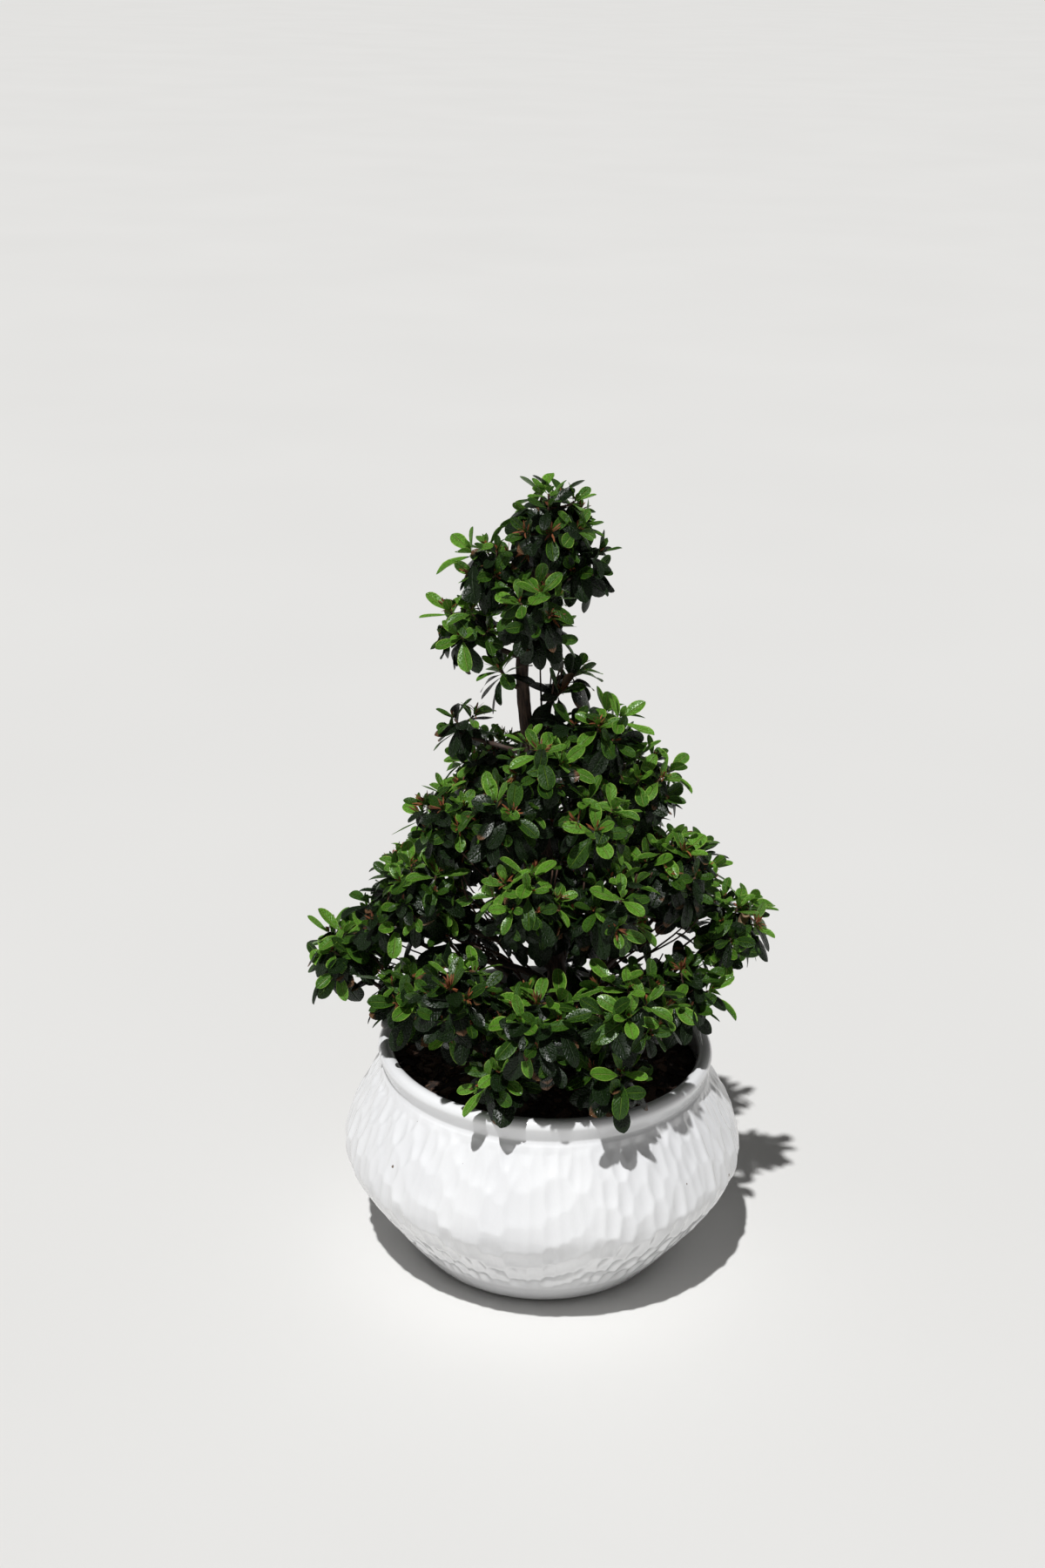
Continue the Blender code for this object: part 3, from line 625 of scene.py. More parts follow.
CHIPS = 1500
CHIP_EDGE = 0.006  # chips keep this far from the wall
CHIP_SHORTEST = 0.0016
CHIP_LONGER = 0.0045  # the longest is this much longer
CHIP_SMALL_BIAS = 2.2
CHIP_WIDTH = (0.35, 0.8)  # of its length
CHIP_THICKNESS = (0.12, 0.4)
CHIP_RAGGED = 0.25  # of its size, how far each corner may stray
CHIP_TIP = 0.35
ANY_TURN = 6.28
CHIP_SIDES = np.array([(0, 2, 3, 1), (4, 5, 7, 6), (0, 1, 5, 4), (1, 3, 7, 5), (3, 2, 6, 7),
                       (2, 0, 4, 6)])


def soil_level(x, y):
    """Height of the lumpy soil surface."""
    share = math.hypot(x, y) / inner_radius(SOIL_HEIGHT)
    level = SOIL_HEIGHT - SOIL_EDGE_DROP * share ** 2 - SOIL_SETTLED
    for scale, seed, height in SOIL_LUMPS:
        level += height * noise.noise(Vector((x * scale, y * scale, seed)))
    return level


def make_soil(finish):
    edge = inner_radius(SOIL_HEIGHT - SOIL_EDGE_DROP) - SOIL_EDGE_GAP
    foot = SOIL_HEIGHT - SOIL_SKIRT
    turns = [TURN * sector / SOIL_SECTORS for sector in range(SOIL_SECTORS)]
    points = []
    for ring in range(1, SOIL_RINGS + 1):
        radius = edge * ring / SOIL_RINGS
        for turn in turns:
            x, y = radius * math.cos(turn), radius * math.sin(turn)
            points.append((x, y, soil_level(x, y)))
    points += [(edge * math.cos(turn), edge * math.sin(turn), foot) for turn in turns]
    points += [(0.0, 0.0, soil_level(0.0, 0.0)), (0.0, 0.0, foot)]
    faces = shell_faces(SOIL_RINGS + 1, SOIL_SECTORS)[:, [0, 3, 2, 1]]
    piece("soil_bed", np.array(points), faces, None, finish, "soil", ["soil"])


def make_chips(finish):
    """Bark chips strewn on the soil: flakes with uneven corners."""
    rng = random.Random(SEED + 1)
    pile = Pile("soil_chips")
    corners = np.array([(x, y, z) for z in (-1, 1) for y in (-1, 1) for x in (-1, 1)])
    edge = inner_radius(SOIL_HEIGHT) - CHIP_EDGE
    for _ in range(CHIPS):
        radius = edge * math.sqrt(rng.random())
        angle = rng.uniform(0.0, TURN)
        x, y = radius * math.cos(angle), radius * math.sin(angle)
        length = CHIP_SHORTEST + CHIP_LONGER * rng.random() ** CHIP_SMALL_BIAS
        size = np.array((length, length * rng.uniform(*CHIP_WIDTH),
                         length * rng.uniform(*CHIP_THICKNESS)))
        shape = corners * size
        shape += np.array([[rng.uniform(-CHIP_RAGGED, CHIP_RAGGED) * side for side in size]
                           for _ in corners])
        turn = Matrix.Rotation(rng.uniform(0, ANY_TURN), 3, "Z")
        tip = Matrix.Rotation(rng.gauss(0.0, CHIP_TIP), 3, Vector((rng.random(), 1.0, 0.0)))
        shape = shape @ np.array(turn @ tip).T
        shape += (x, y, soil_level(x, y) + 0.5 * size[2])
        pile.add(shape, CHIP_SIDES, np.zeros((8, 2)))
    chips = pile.build(finish, "soil", ["soil"])
    for polygon in chips.data.polygons:
        polygon.use_smooth = False


# ---- limbs

TRUNK_STEPS = 16  # from each point of its line to the next
TRUNK_SIDES = 40
TRUNK_GAP = 0.0003  # above the soil
STEM_STEPS = 8
STEM_BASE, STEM_TAPER = 1.25, 0.35  # of the stem's radius
BOUGH_STEPS = 36
BOUGH_SIDES, STEM_SIDES = 14, 10
BOUGH_FLARE = (1.4, 1.15)  # of the radius, at the first two points
# bark relief: ridges in a turn, their depth as a share of the radius, and a seed
TRUNK_RELIEF = (2.4, 0.17, 3.0)
BOUGH_RELIEF = (1.5, 0.14, 7.0)
RIDGE_RUN, KNOB_RUN = 26.0, 70.0  # how fast both change along the limb
RIDGE_CUT, RIDGE_LEVEL = 2.2, 0.55
KNOB_BREADTH, KNOB_HEIGHT = 0.35, 0.07


def trunk_at(height):
    """Axis point and radius of the trunk at a height above the bowl's underside."""
    level = max(height - SOIL_HEIGHT, 0.0)
    for below, above in zip(TRUNK_LINE, TRUNK_LINE[1:]):
        if level <= above[0]:
            share = (level - below[0]) / (above[0] - below[0])
            x, y, radius = (a + (b - a) * share for a, b in zip(below[1:], above[1:]))
            return Vector((x, y, height)), radius
    return Vector((*TRUNK_LINE[-1][1:3], height)), TRUNK_LINE[-1][3]


def bezier(p0, p1, p2, p3, steps):
    line = []
    for step in range(steps + 1):
        share = step / steps
        rest = 1.0 - share
        line.append(rest ** 3 * p0 + 3 * rest ** 2 * share * p1
                    + 3 * rest * share ** 2 * p2 + share ** 3 * p3)
    return line


def bark_relief(ridges, depth, seed):
    """Lengthwise ridges and knobs, as a tube's relief."""
    def relief(angles, run):
        share = np.ones((len(run), len(angles)))
        for row, along in enumerate(run):
            for column, angle in enumerate(angles):
                x, y = math.cos(angle) * ridges, math.sin(angle) * ridges
                ridge = noise.noise(Vector((x, y, along * RIDGE_RUN + seed)))
                knob = noise.noise(Vector((x * KNOB_BREADTH, y * KNOB_BREADTH,
                                           along * KNOB_RUN + seed)))
                fissure = 1.0 - RIDGE_CUT * abs(ridge)
                share[row, column] = (1.0 + depth * (fissure - RIDGE_LEVEL)
                                      + KNOB_HEIGHT * knob)
        return share
    return relief


def make_trunk(finish):
    rows = [(x, y, SOIL_HEIGHT + level, radius) for level, x, y, radius in TRUNK_LINE]
    line = smooth_path(rows, TRUNK_STEPS)
    line[0, 2] += TRUNK_GAP
    pile = Pile("trunk_bark")
    pile.add(*tube(line[:, :3], line[:, 3], TRUNK_SIDES, bark_relief(*TRUNK_RELIEF)))
    pile.build(finish, "bark", ["trunk"])


class Mass:
    """One mass of leaves: where it is, how far it reaches and what carries it."""

    def __init__(self, name, row):
        azimuth, self.rosettes, *sizes = row
        out, height, self.reach, *bough = (size / 1000 for size in sizes)
        self.bough_height = bough[0] if bough else None
        self.name = name
        angle = math.radians(azimuth)
        self.outward = Vector((math.cos(angle), math.sin(angle), 0.0))
        axis, _ = trunk_at(height)
        self.centre = axis + self.outward * out
        self.centre.z = height
        self.hub = self.centre - UP * (HUB_DROP * self.reach)
        self.hub -= self.outward * (HUB_INSET * self.reach)
        if self.bough_height is not None:
            inward = self.outward * min(STEM_INSET * self.reach, out / 2)
            self.start = self.centre - inward - UP * (STEM_DROP * self.reach)
        elif name == "top":
            before, tip = [Vector((x, y, SOIL_HEIGHT + level))
                           for level, x, y, _ in TRUNK_LINE[-2:]]
            self.start = tip
            self.hub = tip + (tip - before).normalized() * TOP_STEM
        else:
            drop = TRUNK_STEM_RISE * self.reach + TRUNK_STEM_CLIMB * out
            self.start, _ = trunk_at(max(height - drop, SOIL_HEIGHT + LOWEST_STEM))
        self.heading = (self.hub - self.start).normalized()

    def owns(self, point, masses):
        """Whether a point is on this mass's side of the planes between masses."""
        own = (point - self.centre).length_squared - self.reach ** 2
        return all((point - other.centre).length_squared - other.reach ** 2 >= own
                   for other in masses if other is not self)


def limb_line(mass, steps):
    """Centre line and radii of a mass's bough and stem, from the trunk's axis to the hub."""
    if mass.bough_height is None:
        shares = np.linspace(0.0, 1.0, STEM_STEPS + 1)
        return ([mass.start.lerp(mass.hub, share) for share in shares],
                STEM_RADIUS * (STEM_BASE - STEM_TAPER * shares))
    foot, _ = trunk_at(mass.bough_height)
    tip = mass.start
    span = (tip - foot).length
    side = Vector((tip.x - foot.x, tip.y - foot.y, 0.0)).normalized()
    leave = side * math.cos(BOUGH_LIFT) + UP * math.sin(BOUGH_LIFT)
    near = foot + leave * (BOUGH_FOOT_PULL * span)
    far = tip - mass.heading * (BOUGH_TIP_PULL * span)
    points = bezier(foot, near, far, tip, steps)
    points += [tip.lerp(mass.hub, share) for share in (0.25, 0.5, 0.75, 1.0)]
    radii = np.full(len(points), BOUGH_TIP_RADIUS)
    radii[:steps + 1] = np.linspace(BOUGH_BASE_RADIUS, BOUGH_TIP_RADIUS, steps + 1)
    radii[:2] *= BOUGH_FLARE
    return points, radii


def bough_points(mass, shares):
    """Points at some shares of a mass's bough, if it has one."""
    if mass.bough_height is None:
        return []
    points, _ = limb_line(mass, BOUGH_STEPS)
    return [points[int(BOUGH_STEPS * share)] for share in shares]


def make_boughs(masses, finish):
    pile = Pile("boughs_bark")
    ridges, depth, seed = BOUGH_RELIEF
    for number, mass in enumerate(masses):
        points, radii = limb_line(mass, BOUGH_STEPS)
        sides = STEM_SIDES if mass.bough_height is None else BOUGH_SIDES
        pile.add(*tube(as_array(points), radii, sides,
                       bark_relief(ridges, depth, seed + number)))
    nodes = [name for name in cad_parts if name.startswith("bough_")]
    pile.build(finish, "bark", nodes)


# ---- leaves

LEAF_LENGTH = 0.0325
PETIOLE = 0.1  # of a leaf's length
LEAF_BLUNT = 0.6  # lower is blunter at the tip
STALK_HALF_WIDTH = 0.018  # of a leaf's length
CUP_POWER = 1.7  # higher lifts the margins alone
WAVE_TURNS = 9.0  # radians of ripples along a blade
DROOP_BY_AGE = 0.55

LEAF_COUNTS = (8, 9, 9, 10)  # in a rosette
LEAF_TILT_OLD = math.radians(112)
LEAF_TILT_YOUNG = math.radians(34)
TILT_POWER = 1.25
TILT_STRAY, TURN_STRAY = 0.22, 0.18
OLD_SAG = 0.22
OLD_LENGTH, AGE_SHORTER, AGE_POWER = 1.12, 0.46, 1.4
LENGTH_SPREAD = (0.8, 1.06)
WIDTHS = (0.37, 0.47)  # of a leaf's length
BELLIES = (0.84, 1.16)
CUPS_YOUNG, CUPS_OLD = (0.05, 0.4), (-0.38, 0.12)
BENDS = (-0.25, 0.55)
WAVES = (0.02, 0.09)
ROOT_SPREAD, ROOT_OUT = 0.0075, 0.0006  # where leaves leave the twig
DRY_SHARE, DRY_LENGTH, DRY_WIDTH, DRY_CUP = 0.018, 0.75, 0.34, 0.9
DRY_BENDS = (0.8, 1.6)

# Ages run from 0, a rosette's lowest leaf, to 1, the one at its bud.
CUPPED_FROM = 0.45  # the age from which margins lift
YOUNG_FROM = 0.48
GROWN_FROM, GROWN_FROM_STALE = 0.3, 0.72  # second: without new leaves
HANGING_SHARE = 0.2

LEAF_TRIES = 5  # to find room for a leaf
LEAF_SHRINK = 0.06  # shorter at each try
TRY_TURN = 0.5
TESTED = (0.4, 0.7, 1.0)  # of a leaf's length, where it must be clear
LEAF_OVER = 0.008  # past its mass's reach
LIMB_ROOM, RIM_ROOM, SOIL_ROOM, LIP_ROOM = 0.0035, 0.004, 0.002, 0.003
TRUNK_SPOTS, BOUGH_SPOTS = 90, 24  # where limbs are tested

# small strips at a twig's very end: lengths, width as a share of that, and tilts
NEW_LEAFLET = ((0.008, 0.014), 0.4, (0.15, 0.45))
BUD_SCALE = ((0.004, 0.008), 0.34, (0.15, 0.95))
FLOWER_REMAINS = ((0.006, 0.013), 0.13, (0.15, 1.35))
FLOWERED = 0.36  # of the rosettes
LEAFLETS, REMAINS, SCALES = (1, 2, 3), (12, 20), (2, 5)  # how many of each
REMAINS_OUT, SCALES_OUT = (0.001, 0.004), 0.001  # past the twig's end
STRIP_BELLY = 0.85
STRIP_CUPS, STRIP_BENDS = (0.2, 0.7), (-0.9, 0.9)

# ---- twigs

TWIG_BASE_RADIUS = 0.0013
TWIG_TIP_RADIUS = 0.0009
TWIG_SIDES = 6
TWIG_STEPS, INNER_TWIG_STEPS = 6, 9
TWIG_LEAF_ROOM = 0.78
TWIG_SHORTEST = 0.3
TWIG_AHEAD, TWIG_UP = 0.5, 0.2
TWIG_FOOT_PULL, TWIG_TIP_PULL = 0.55, 0.3
FINE_TWIG_AREA = 0.00037  # for each, of a sphere in the mass
FINE_TWIG_REACH = 0.78  # that sphere's radius, of the mass's reach
THIN_TUFT = 1.8  # further apart in the smallest masses
FINE_TWIG_SPREAD = (0.86, 1.1)
FINE_TWIG_BRANCH = (0.25, 0.6)  # of a main twig
FINE_TWIG_GAP = 0.47 * LEAF_LENGTH
FINE_TWIG_MARGIN = 0.006
LOWEST_WAY, INMOST_WAY = -0.8, -0.75  # none further down or in
GOLDEN_TURN = math.pi * (3.0 - math.sqrt(5.0))
FINE_THICKNESS = 0.8  # of a main twig's

FRONT_SHOOTS = (0.36, 0.48, 0.58, 0.68, 0.78, 0.88)  # of a bough
OTHER_SHOOTS = (0.52, 0.7, 0.88)
FRONT_SIDE = -0.5  # how far forward a mass stands, of its way out
SHOOT_OUT = 0.35
TRUNK_SHOOTS = 20
TRUNK_SHOOT_HEIGHTS = (0.29, 0.43)
TRUNK_SHOOT_STRAY = 0.3
# of both: how far up they lean, their length, and their thickness as a share of a main twig's
BOUGH_SHOOT = ((0.2, 0.9), (0.02, 0.045), 0.7)
TRUNK_SHOOT = ((0.2, 0.7), (0.035, 0.06), 0.8)
INNER_TWIGS = (0.22, 0.34, 0.46, 0.58, 0.7)  # of a bough, for bare twigs
INNER_ASIDE, INNER_BACK, INNER_UP = (-0.75, 0.75), (0.1, 0.8), (-0.1, 0.5)  # of the reach
INNER_AHEAD, INNER_RISE = 0.4, 0.6
INNER_BASE, INNER_TIP = 0.9, 0.7  # of a main twig's radii

# Low masses and rosettes that face down get fewer bright new leaves: partly their age, partly
# painted shade under the crown.
LOW_MASS = 0.31  # below this the leaves are older and larger
LOW_LARGER = 1.1
FRESH_LOW_SHADED, FRESH_HIGH, FRESH_UP_LIT = 0.34, 0.48, 0.3  # shares of rosettes with new leaves
SIZE_SPREAD = (0.78, 1.18)

PIECES = {"young": "leaves_new", "mid": "leaves_grown", "old": "leaves_old",
          "hanging": "leaves_hanging", "dry": "leaves_dry", "bud": "bud_scales",
          "twig": "twigs"}


class BladeGrid:
    """Where a blade's points lie: along it from its root, and across it from its rib."""

    def __init__(self, along, across):
        self.along, self.across = np.meshgrid(along, across, indexing="ij")
        self.faces = grid_faces(len(along), len(across), closed=False)[:, ::-1]
        self.uvs = np.stack([self.along.ravel(), 0.5 + 0.5 * self.across.ravel()], -1)


LEAF_GRID = BladeGrid((0.0, 0.09, 0.2, 0.34, 0.49, 0.63, 0.76, 0.87, 0.95, 1.0),
                      (-1.0, -0.55, 0.0, 0.55, 1.0))
STRIP_GRID = BladeGrid((0.0, 0.12, 0.35, 0.62, 0.86, 1.0), (-1.0, 0.0, 1.0))


def leaf_frame(direction, face):
    """Columns: across the leaf, its face, and along it."""
    along = unit(np.array(direction))
    across = unit(np.cross(np.array(face), along))
    return np.stack([across, np.cross(along, across), along], -1)


def leaf_blade(grid, root, direction, face, length, width, belly, cup, bend, wave):
    """A leaf's points: belly moves its broadest place towards the tip, cup lifts its
    margins, bend droops it and wave, an amount and a phase, ripples its margins."""
    blade = np.clip((grid.along - PETIOLE) / (1.0 - PETIOLE), 0.0, 1.0)
    peak = belly / (belly + LEAF_BLUNT)
    outline = blade ** belly * (1.0 - blade) ** LEAF_BLUNT
    outline /= peak ** belly * (1.0 - peak) ** LEAF_BLUNT
    half = np.maximum(0.5 * width * outline, STALK_HALF_WIDTH) * length
    across = grid.across * half
    lift = cup * half * np.abs(grid.across) ** CUP_POWER
    ripple = np.sin(grid.along * WAVE_TURNS + wave[1] + grid.across)
    lift += wave[0] * half * np.abs(grid.across) * ripple
    if abs(bend) < 0.01:  # as good as straight, but it has a radius
        bend = 0.01
    angle = bend * blade
    reach = (1.0 - PETIOLE) * length / bend
    along = np.minimum(grid.along, PETIOLE) * length + reach * np.sin(angle)
    sink = reach * (1.0 - np.cos(angle))
    local = np.stack([across, lift * np.cos(angle) - sink, along + lift * np.sin(angle)], -1)
    return local.reshape(-1, 3) @ leaf_frame(direction, face).T + np.array(root)


class Surroundings:
    """What leaves stay clear of: limbs, bowl and soil."""

    def __init__(self, masses):
        spots = [trunk_at(SOIL_HEIGHT + level)
                 for level in np.linspace(0.0, TRUNK_LINE[-1][0], TRUNK_SPOTS)]
        for mass in masses:
            spots += zip(*limb_line(mass, BOUGH_SPOTS))
        self.centres = as_array(point for point, _ in spots)
        self.radii = np.array([radius for _, radius in spots])

    def clear(self, points):
        """Whether points of a leaf's middle line are clear."""
        gap = np.linalg.norm(points[:, None] - self.centres, axis=2)
        if (gap < self.radii + LIMB_ROOM).any():
            return False
        for x, y, z in points:
            radius = math.hypot(x, y)
            if radius < LIP_RADIUS + RIM_ROOM and z < SOIL_HEIGHT + SOIL_ROOM:
                return False
            if z < BOWL_HEIGHT + LIP_ROOM:
                outer = LIP_RADIUS if z > NECK_HEIGHT else bowl_radius(z)
                if MOUTH_RADIUS - RIM_ROOM <= radius <= outer + RIM_ROOM:
                    return False
        return True


def leaned(axis, turn, tilt):
    """A way tilted off an axis at a turn round it, a leaf's face there, and the side it leans
    to."""
    side = Matrix.Rotation(turn, 3, axis) @ axis.orthogonal().normalized()
    return (axis * math.cos(tilt) + side * math.sin(tilt),
            axis * math.sin(tilt) - side * math.cos(tilt), side)


def rosette_tips(mass, rng):
    """Ends of the main twigs: one out and up, the others in a ring round it."""
    pole = (mass.outward * POLE_OUT + UP * POLE_UP).normalized()
    if mass.name == "top":
        pole = UP
    distance = max(TWIG_SHORTEST * mass.reach, mass.reach - TWIG_LEAF_ROOM * LEAF_LENGTH)
    tips = []
    phase = rng.uniform(0.0, TURN)
    for index in range(mass.rosettes):
        tilt = POLE_TILT if index == 0 else rng.uniform(*RING_TILT)
        way, _, _ = leaned(pole, phase + index * TURN / (mass.rosettes - 1), tilt)
        tips.append((mass.centre + way * distance, way))
    return tips, distance


def fine_tips(mass, masses, distance, taken, rng):
    """Ends of the finer twigs, spread evenly over the mass's own space."""
    area = FINE_TWIG_AREA * (THIN_TUFT if mass.rosettes < 3 else 1.0)
    count = int(4.0 * math.pi * (mass.reach * FINE_TWIG_REACH) ** 2 / area)
    turn = rng.uniform(0.0, TURN)
    tips = []
    for index in range(count):
        level = 1.0 - 2.0 * (index + 0.5) / count
        angle = turn + index * GOLDEN_TURN
        flat = math.sqrt(1.0 - level * level)
        way = Vector((flat * math.cos(angle), flat * math.sin(angle), level))
        if way.z < LOWEST_WAY or way.dot(mass.outward) < INMOST_WAY:
            continue
        tip = mass.centre + way * (distance * rng.uniform(*FINE_TWIG_SPREAD))
        near = min((tip - other).length for other in taken)
        if near > FINE_TWIG_GAP and mass.owns(tip + way * FINE_TWIG_MARGIN, masses):
            tips.append((tip, way))
            taken.append(tip)
    return tips


def shoot(origin, flat, form, rng):
    """Origin, end, way and thickness of a short twig that leans up from a flat way."""
    up, lengths, thickness = form
    way = (flat + UP * rng.uniform(*up)).normalized()
    return origin, origin + way * rng.uniform(*lengths), way, thickness


def side_shoots(mass, rng):
    """Short twigs off a bough, on the stretch that its mass leaves bare."""
    shoots = []
    shares = FRONT_SHOOTS if mass.outward.y < FRONT_SIDE else OTHER_SHOOTS
    for origin in bough_points(mass, shares):
        flat = mass.outward.cross(UP) * rng.uniform(-1.0, 1.0) + mass.outward * SHOOT_OUT
        shoots.append(shoot(origin, flat, BOUGH_SHOOT, rng))
    return shoots


def trunk_shoots(rng):
    """Short twigs off the trunk inside the crown, where it is bare."""
    shoots = []
    for step, level in enumerate(np.linspace(*TRUNK_SHOOT_HEIGHTS, TRUNK_SHOOTS)):
        turn = step * LEAF_TURN + rng.uniform(-TRUNK_SHOOT_STRAY, TRUNK_SHOOT_STRAY)
        flat = Vector((math.cos(turn), math.sin(turn), 0.0))
        shoots.append(shoot(trunk_at(level)[0], flat, TRUNK_SHOOT, rng))
    return shoots


def inner_twigs(mass, rng):
    """Bare twigs that leave a bough early and climb beside it into its mass."""
    side = mass.outward.cross(UP)
    twigs = []
    for start in bough_points(mass, INNER_TWIGS):
        end = mass.centre + side * (mass.reach * rng.uniform(*INNER_ASIDE))
        end -= mass.outward * (mass.reach * rng.uniform(*INNER_BACK))
        end.z += mass.reach * rng.uniform(*INNER_UP)
        twigs.append((start, end))
    return twigs


def twig_tube(start, end, heading, steps, radii):
    """A twig that leaves start towards end, a little up, and reaches end by heading."""
    span = (end - start).length
    near = (end - start).normalized() * TWIG_AHEAD + UP * TWIG_UP
    near = start + near * (TWIG_FOOT_PULL * span)
    far = end - heading * (TWIG_TIP_PULL * span)
    path = as_array(bezier(start, near, far, end, steps))
    return tube(path, np.linspace(*radii, len(path)), TWIG_SIDES)


def rosette_leaf(tip, axis, turn, index, age, size, rng):
    """Root, direction, face and length of one leaf about a twig's end."""
    turn += index * LEAF_TURN + rng.uniform(-TURN_STRAY, TURN_STRAY)
    tilt = LEAF_TILT_OLD + (LEAF_TILT_YOUNG - LEAF_TILT_OLD) * age ** TILT_POWER
    tilt += rng.uniform(-TILT_STRAY, TILT_STRAY)
    direction, face, side = leaned(axis, turn, tilt)
    direction = (direction - UP * (OLD_SAG * (1.0 - age))).normalized()
    length = size * (OLD_LENGTH - AGE_SHORTER * age ** AGE_POWER)
    length *= rng.uniform(*LENGTH_SPREAD)
    root = tip - axis * (ROOT_SPREAD * (1.0 - age)) + side * ROOT_OUT
    return root, direction, face.normalized(), length


def leaf_kind(age, fresh, dry):
    """Which pile a leaf goes to. Fresh rosettes have new leaves round the bud."""
    if dry:
        return "dry"
    if fresh and age > YOUNG_FROM:
        return "young"
    if age > (GROWN_FROM if fresh else GROWN_FROM_STALE):
        return "mid"
    return "hanging" if age < HANGING_SHARE else "old"


def add_leaf(piles, root, direction, face, length, age, fresh, rng):
    dry = rng.random() < DRY_SHARE and age < 0.5
    width = rng.uniform(*WIDTHS)
    cup = rng.uniform(*(CUPS_YOUNG if age > CUPPED_FROM else CUPS_OLD))
    bend = rng.uniform(*BENDS) + DROOP_BY_AGE * (1.0 - age)
    if dry:
        cup, bend, width = DRY_CUP, rng.uniform(*DRY_BENDS), DRY_WIDTH
        length *= DRY_LENGTH
    points = leaf_blade(LEAF_GRID, root, direction, face, length, width,
                        rng.uniform(*BELLIES), cup, bend,
                        (rng.uniform(*WAVES), rng.uniform(0.0, 6.0)))
    piles[leaf_kind(age, fresh, dry)].add(points, LEAF_GRID.faces, LEAF_GRID.uvs)


def add_strip(pile, tip, axis, form, rng):
    """A small leaf or bud scale at a twig's very end."""
    lengths, width, tilts = form
    length = rng.uniform(*lengths)
    direction, face, _ = leaned(axis, rng.uniform(0.0, ANY_TURN), rng.uniform(*tilts))
    points = leaf_blade(STRIP_GRID, tip, direction, face, length, width, STRIP_BELLY,
                        rng.uniform(*STRIP_CUPS), rng.uniform(*STRIP_BENDS),
                        (0.1, rng.uniform(0.0, 6.0)))
    pile.add(points, STRIP_GRID.faces, STRIP_GRID.uvs)


def grow_rosette(piles, tip, axis, size, fresh, mass, around, rng, free):
    """A rosette: old leaves hanging below, new ones standing round the bud. A free one may
    leave its mass's reach."""
    count = rng.choice(LEAF_COUNTS)
    flowered = rng.random() < FLOWERED
    turn = rng.uniform(0.0, TURN)
    for index in range(count):
        age = index / (count - 1)
        for attempt in range(LEAF_TRIES):
            root, direction, face, length = rosette_leaf(tip, axis, turn, index, age, size,
                                                         rng)
            length *= 1.0 - LEAF_SHRINK * attempt
            middle = as_array(root + direction * (length * share) for share in TESTED)
            end = Vector(middle[-1])
            inside = free or (end - mass.centre).length < mass.reach + LEAF_OVER
            if inside and around.clear(middle):
                add_leaf(piles, root, direction, face, length, age, fresh, rng)
                break
            turn += TRY_TURN
    for _ in range(rng.choice(LEAFLETS)):
        add_strip(piles["young" if fresh else "mid"], tip, axis, NEW_LEAFLET, rng)
    if flowered:
        for _ in range(rng.randint(*REMAINS)):
            add_strip(piles["bud"], tip + axis * rng.uniform(*REMAINS_OUT), axis,
                      FLOWER_REMAINS, rng)
    else:
        for _ in range(rng.randint(*SCALES)):
            add_strip(piles["bud"], tip + axis * SCALES_OUT, axis, BUD_SCALE, rng)


def grow(mass, number, masses, around, piles):
    """A mass: main twigs, finer ones off them, and shoots, with their rosettes."""
    rng = random.Random(SEED * 1000 + number)
    tips, distance = rosette_tips(mass, rng)
    ends = [(mass.start.lerp(mass.hub, TWIG_START - TWIG_SPACING * index), tip, way, 1.0)
            for index, (tip, way) in enumerate(tips)]
    mains = list(ends)
    taken = [tip for tip, _ in tips]
    for tip, way in fine_tips(mass, masses, distance, taken, rng):
        origin, end, _, _ = min(mains, key=lambda main: (main[1] - tip).length)
        ends.append((origin.lerp(end, rng.uniform(*FINE_TWIG_BRANCH)), tip, way,
                     FINE_THICKNESS))
    for origin, end in inner_twigs(mass, rng):
        heading = (end - origin).normalized() * INNER_AHEAD + UP * INNER_RISE
        radii = TWIG_BASE_RADIUS * INNER_BASE, TWIG_TIP_RADIUS * INNER_TIP
        piles["twig"].add(*twig_tube(origin, end, heading, INNER_TWIG_STEPS, radii))
    own = len(ends)
    ends += side_shoots(mass, rng)
    if mass.name == "top":
        ends += trunk_shoots(rng)
    low = mass.centre.z < LOW_MASS
    for index, (origin, tip, way, thickness) in enumerate(ends):
        axis = way * ROSETTE_OUT + UP * ROSETTE_UP
        axis += (tip - origin).normalized() * ROSETTE_AHEAD
        axis.normalize()
        radii = TWIG_BASE_RADIUS * thickness, TWIG_TIP_RADIUS
        piles["twig"].add(*twig_tube(origin, tip, axis, TWIG_STEPS, radii))
        # fewer bright new leaves low down and facing down: partly painted shade
        fresh = rng.random() < (FRESH_LOW_SHADED if low else FRESH_HIGH) + FRESH_UP_LIT * way.z
        size = LEAF_LENGTH * rng.uniform(*SIZE_SPREAD) * (LOW_LARGER if low else 1.0)
        free = index >= own
        grow_rosette(piles, tip, axis, size, fresh and not free, mass, around, rng, free)


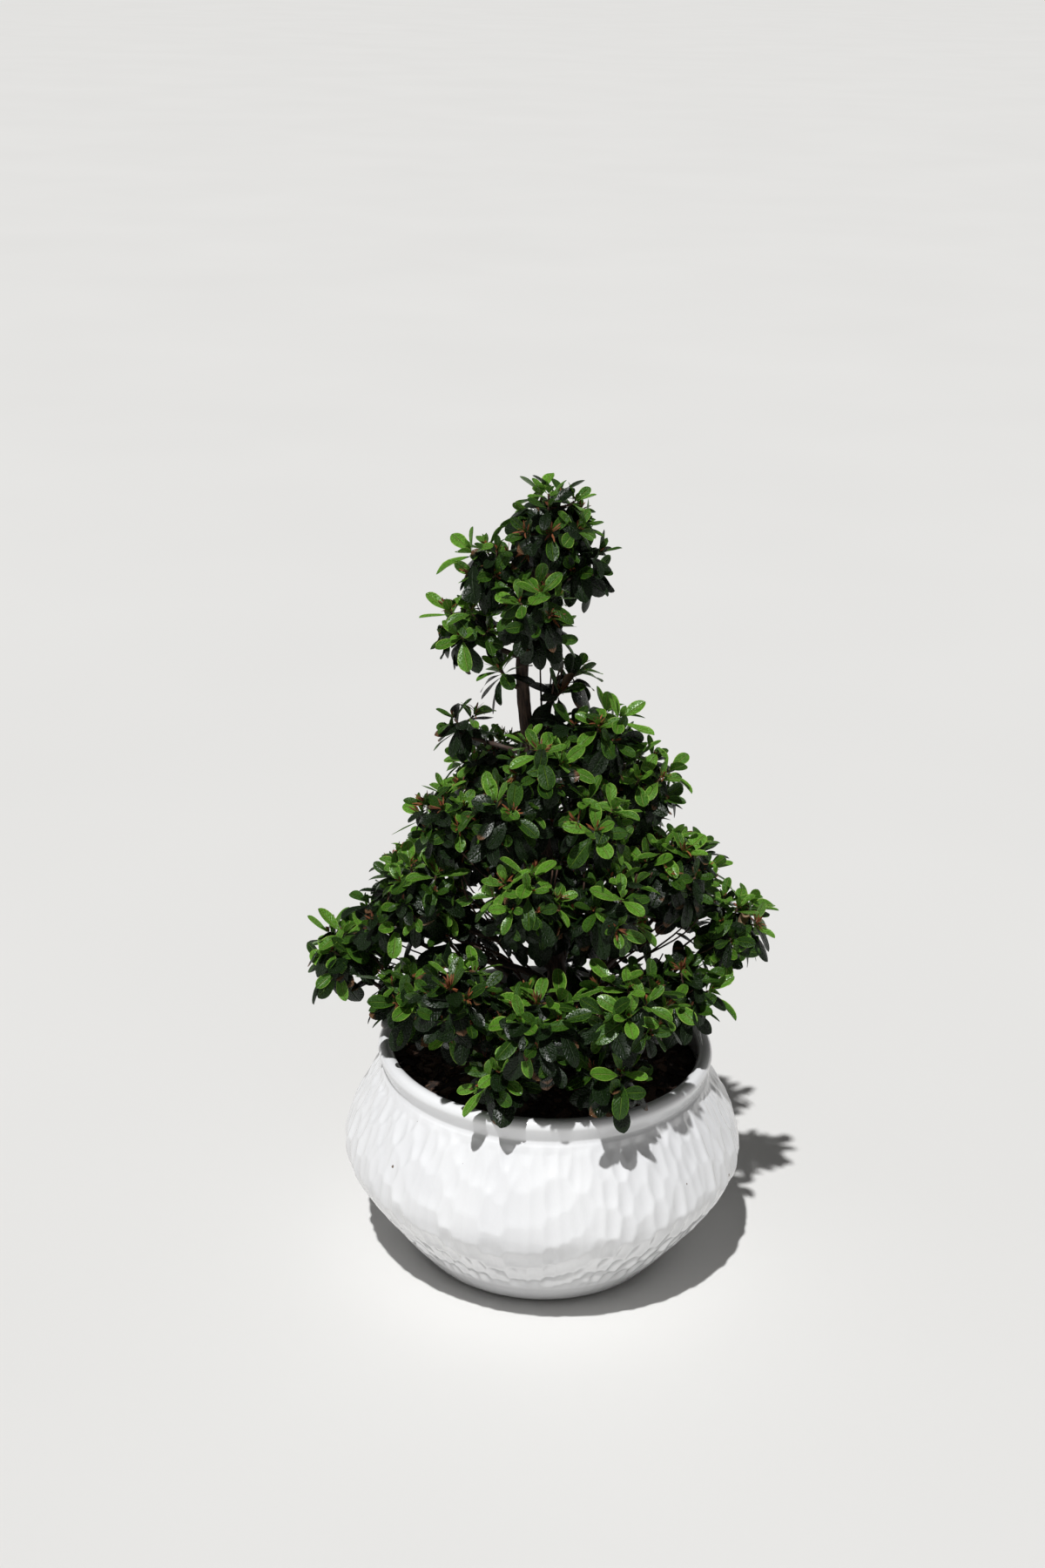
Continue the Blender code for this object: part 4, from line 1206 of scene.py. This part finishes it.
def make_foliage(masses):
    leaf_nodes = [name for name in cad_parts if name.startswith("leaves_")]
    around = Surroundings(masses)
    piles = {kind: Pile(name) for kind, name in PIECES.items()}
    for number, mass in enumerate(masses):
        grow(mass, number, masses, around, piles)
    finishes = {kind: leaf_material(*look) for kind, look in LEAF_LOOKS.items()}
    finishes.update((kind, plain_material(*look)) for kind, look in PLAIN_LOOKS.items())
    finishes["hanging"] = finishes["old"]
    for kind, pile in piles.items():
        pile.build(finishes[kind], "bark" if kind == "twig" else "leaf", leaf_nodes)


# ---- floor, light and camera

FLOOR_SIZE = 160.0
FLOOR_DROP = 0.0002
SUN_WAY = Vector((0.148, 0.42, -0.895))
SUN_STRENGTH = 3.55
SUN_ANGLE = math.radians(1.5)
SKY_COLOUR = (1.0, 0.99, 0.97, 1.0)
SKY_STRENGTH = 0.115

CAMERA_PLACE = Vector((-0.0264, -1.741, 1.143))
CAMERA_PITCH = math.radians(21.69)  # down from level
CAMERA_ROLL = math.radians(1.45)
FOCAL_LENGTH = 50.0
FARTHEST_SEEN = 300.0


def make_floor():
    bpy.ops.mesh.primitive_plane_add(size=FLOOR_SIZE, location=(0, 0, -FLOOR_DROP))
    floor = bpy.context.object
    floor.name = "floor"
    floor.data.materials.append(floor_material())


def make_light():
    """A high sun from the front left and a faint, even sky."""
    lamp = bpy.data.lights.new("key", "SUN")
    lamp.energy = SUN_STRENGTH
    lamp.angle = SUN_ANGLE
    sun = placed("key", lamp)
    sun.matrix_world = (-SUN_WAY).to_track_quat("Z", "Y").to_matrix().to_4x4()
    world = bpy.data.worlds.new("studio")
    world.use_nodes = True
    fill(world.node_tree.nodes["Background"], {0: SKY_COLOUR, 1: SKY_STRENGTH})
    bpy.context.scene.world = world


def make_camera():
    lens = bpy.data.cameras.new("camera")
    lens.lens = FOCAL_LENGTH
    lens.clip_end = FARTHEST_SEEN
    camera = placed("camera", lens)
    camera.matrix_world = (Matrix.Translation(CAMERA_PLACE)
                           @ Matrix.Rotation(math.radians(90) - CAMERA_PITCH, 4, "X")
                           @ Matrix.Rotation(CAMERA_ROLL, 4, "Z"))
    bpy.context.scene.camera = camera


# ---- build


def main():
    bpy.context.scene.view_settings.view_transform = "Standard"
    make_camera()
    make_floor()
    make_light()
    make_bowl(glaze_material())
    make_soil(soil_material())
    make_chips(chip_material())
    masses = [Mass(name, row) for name, row in MASSES.items()]
    bark = bark_material()
    make_trunk(bark)
    make_boughs(masses, bark)
    make_foliage(masses)
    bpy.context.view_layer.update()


main()
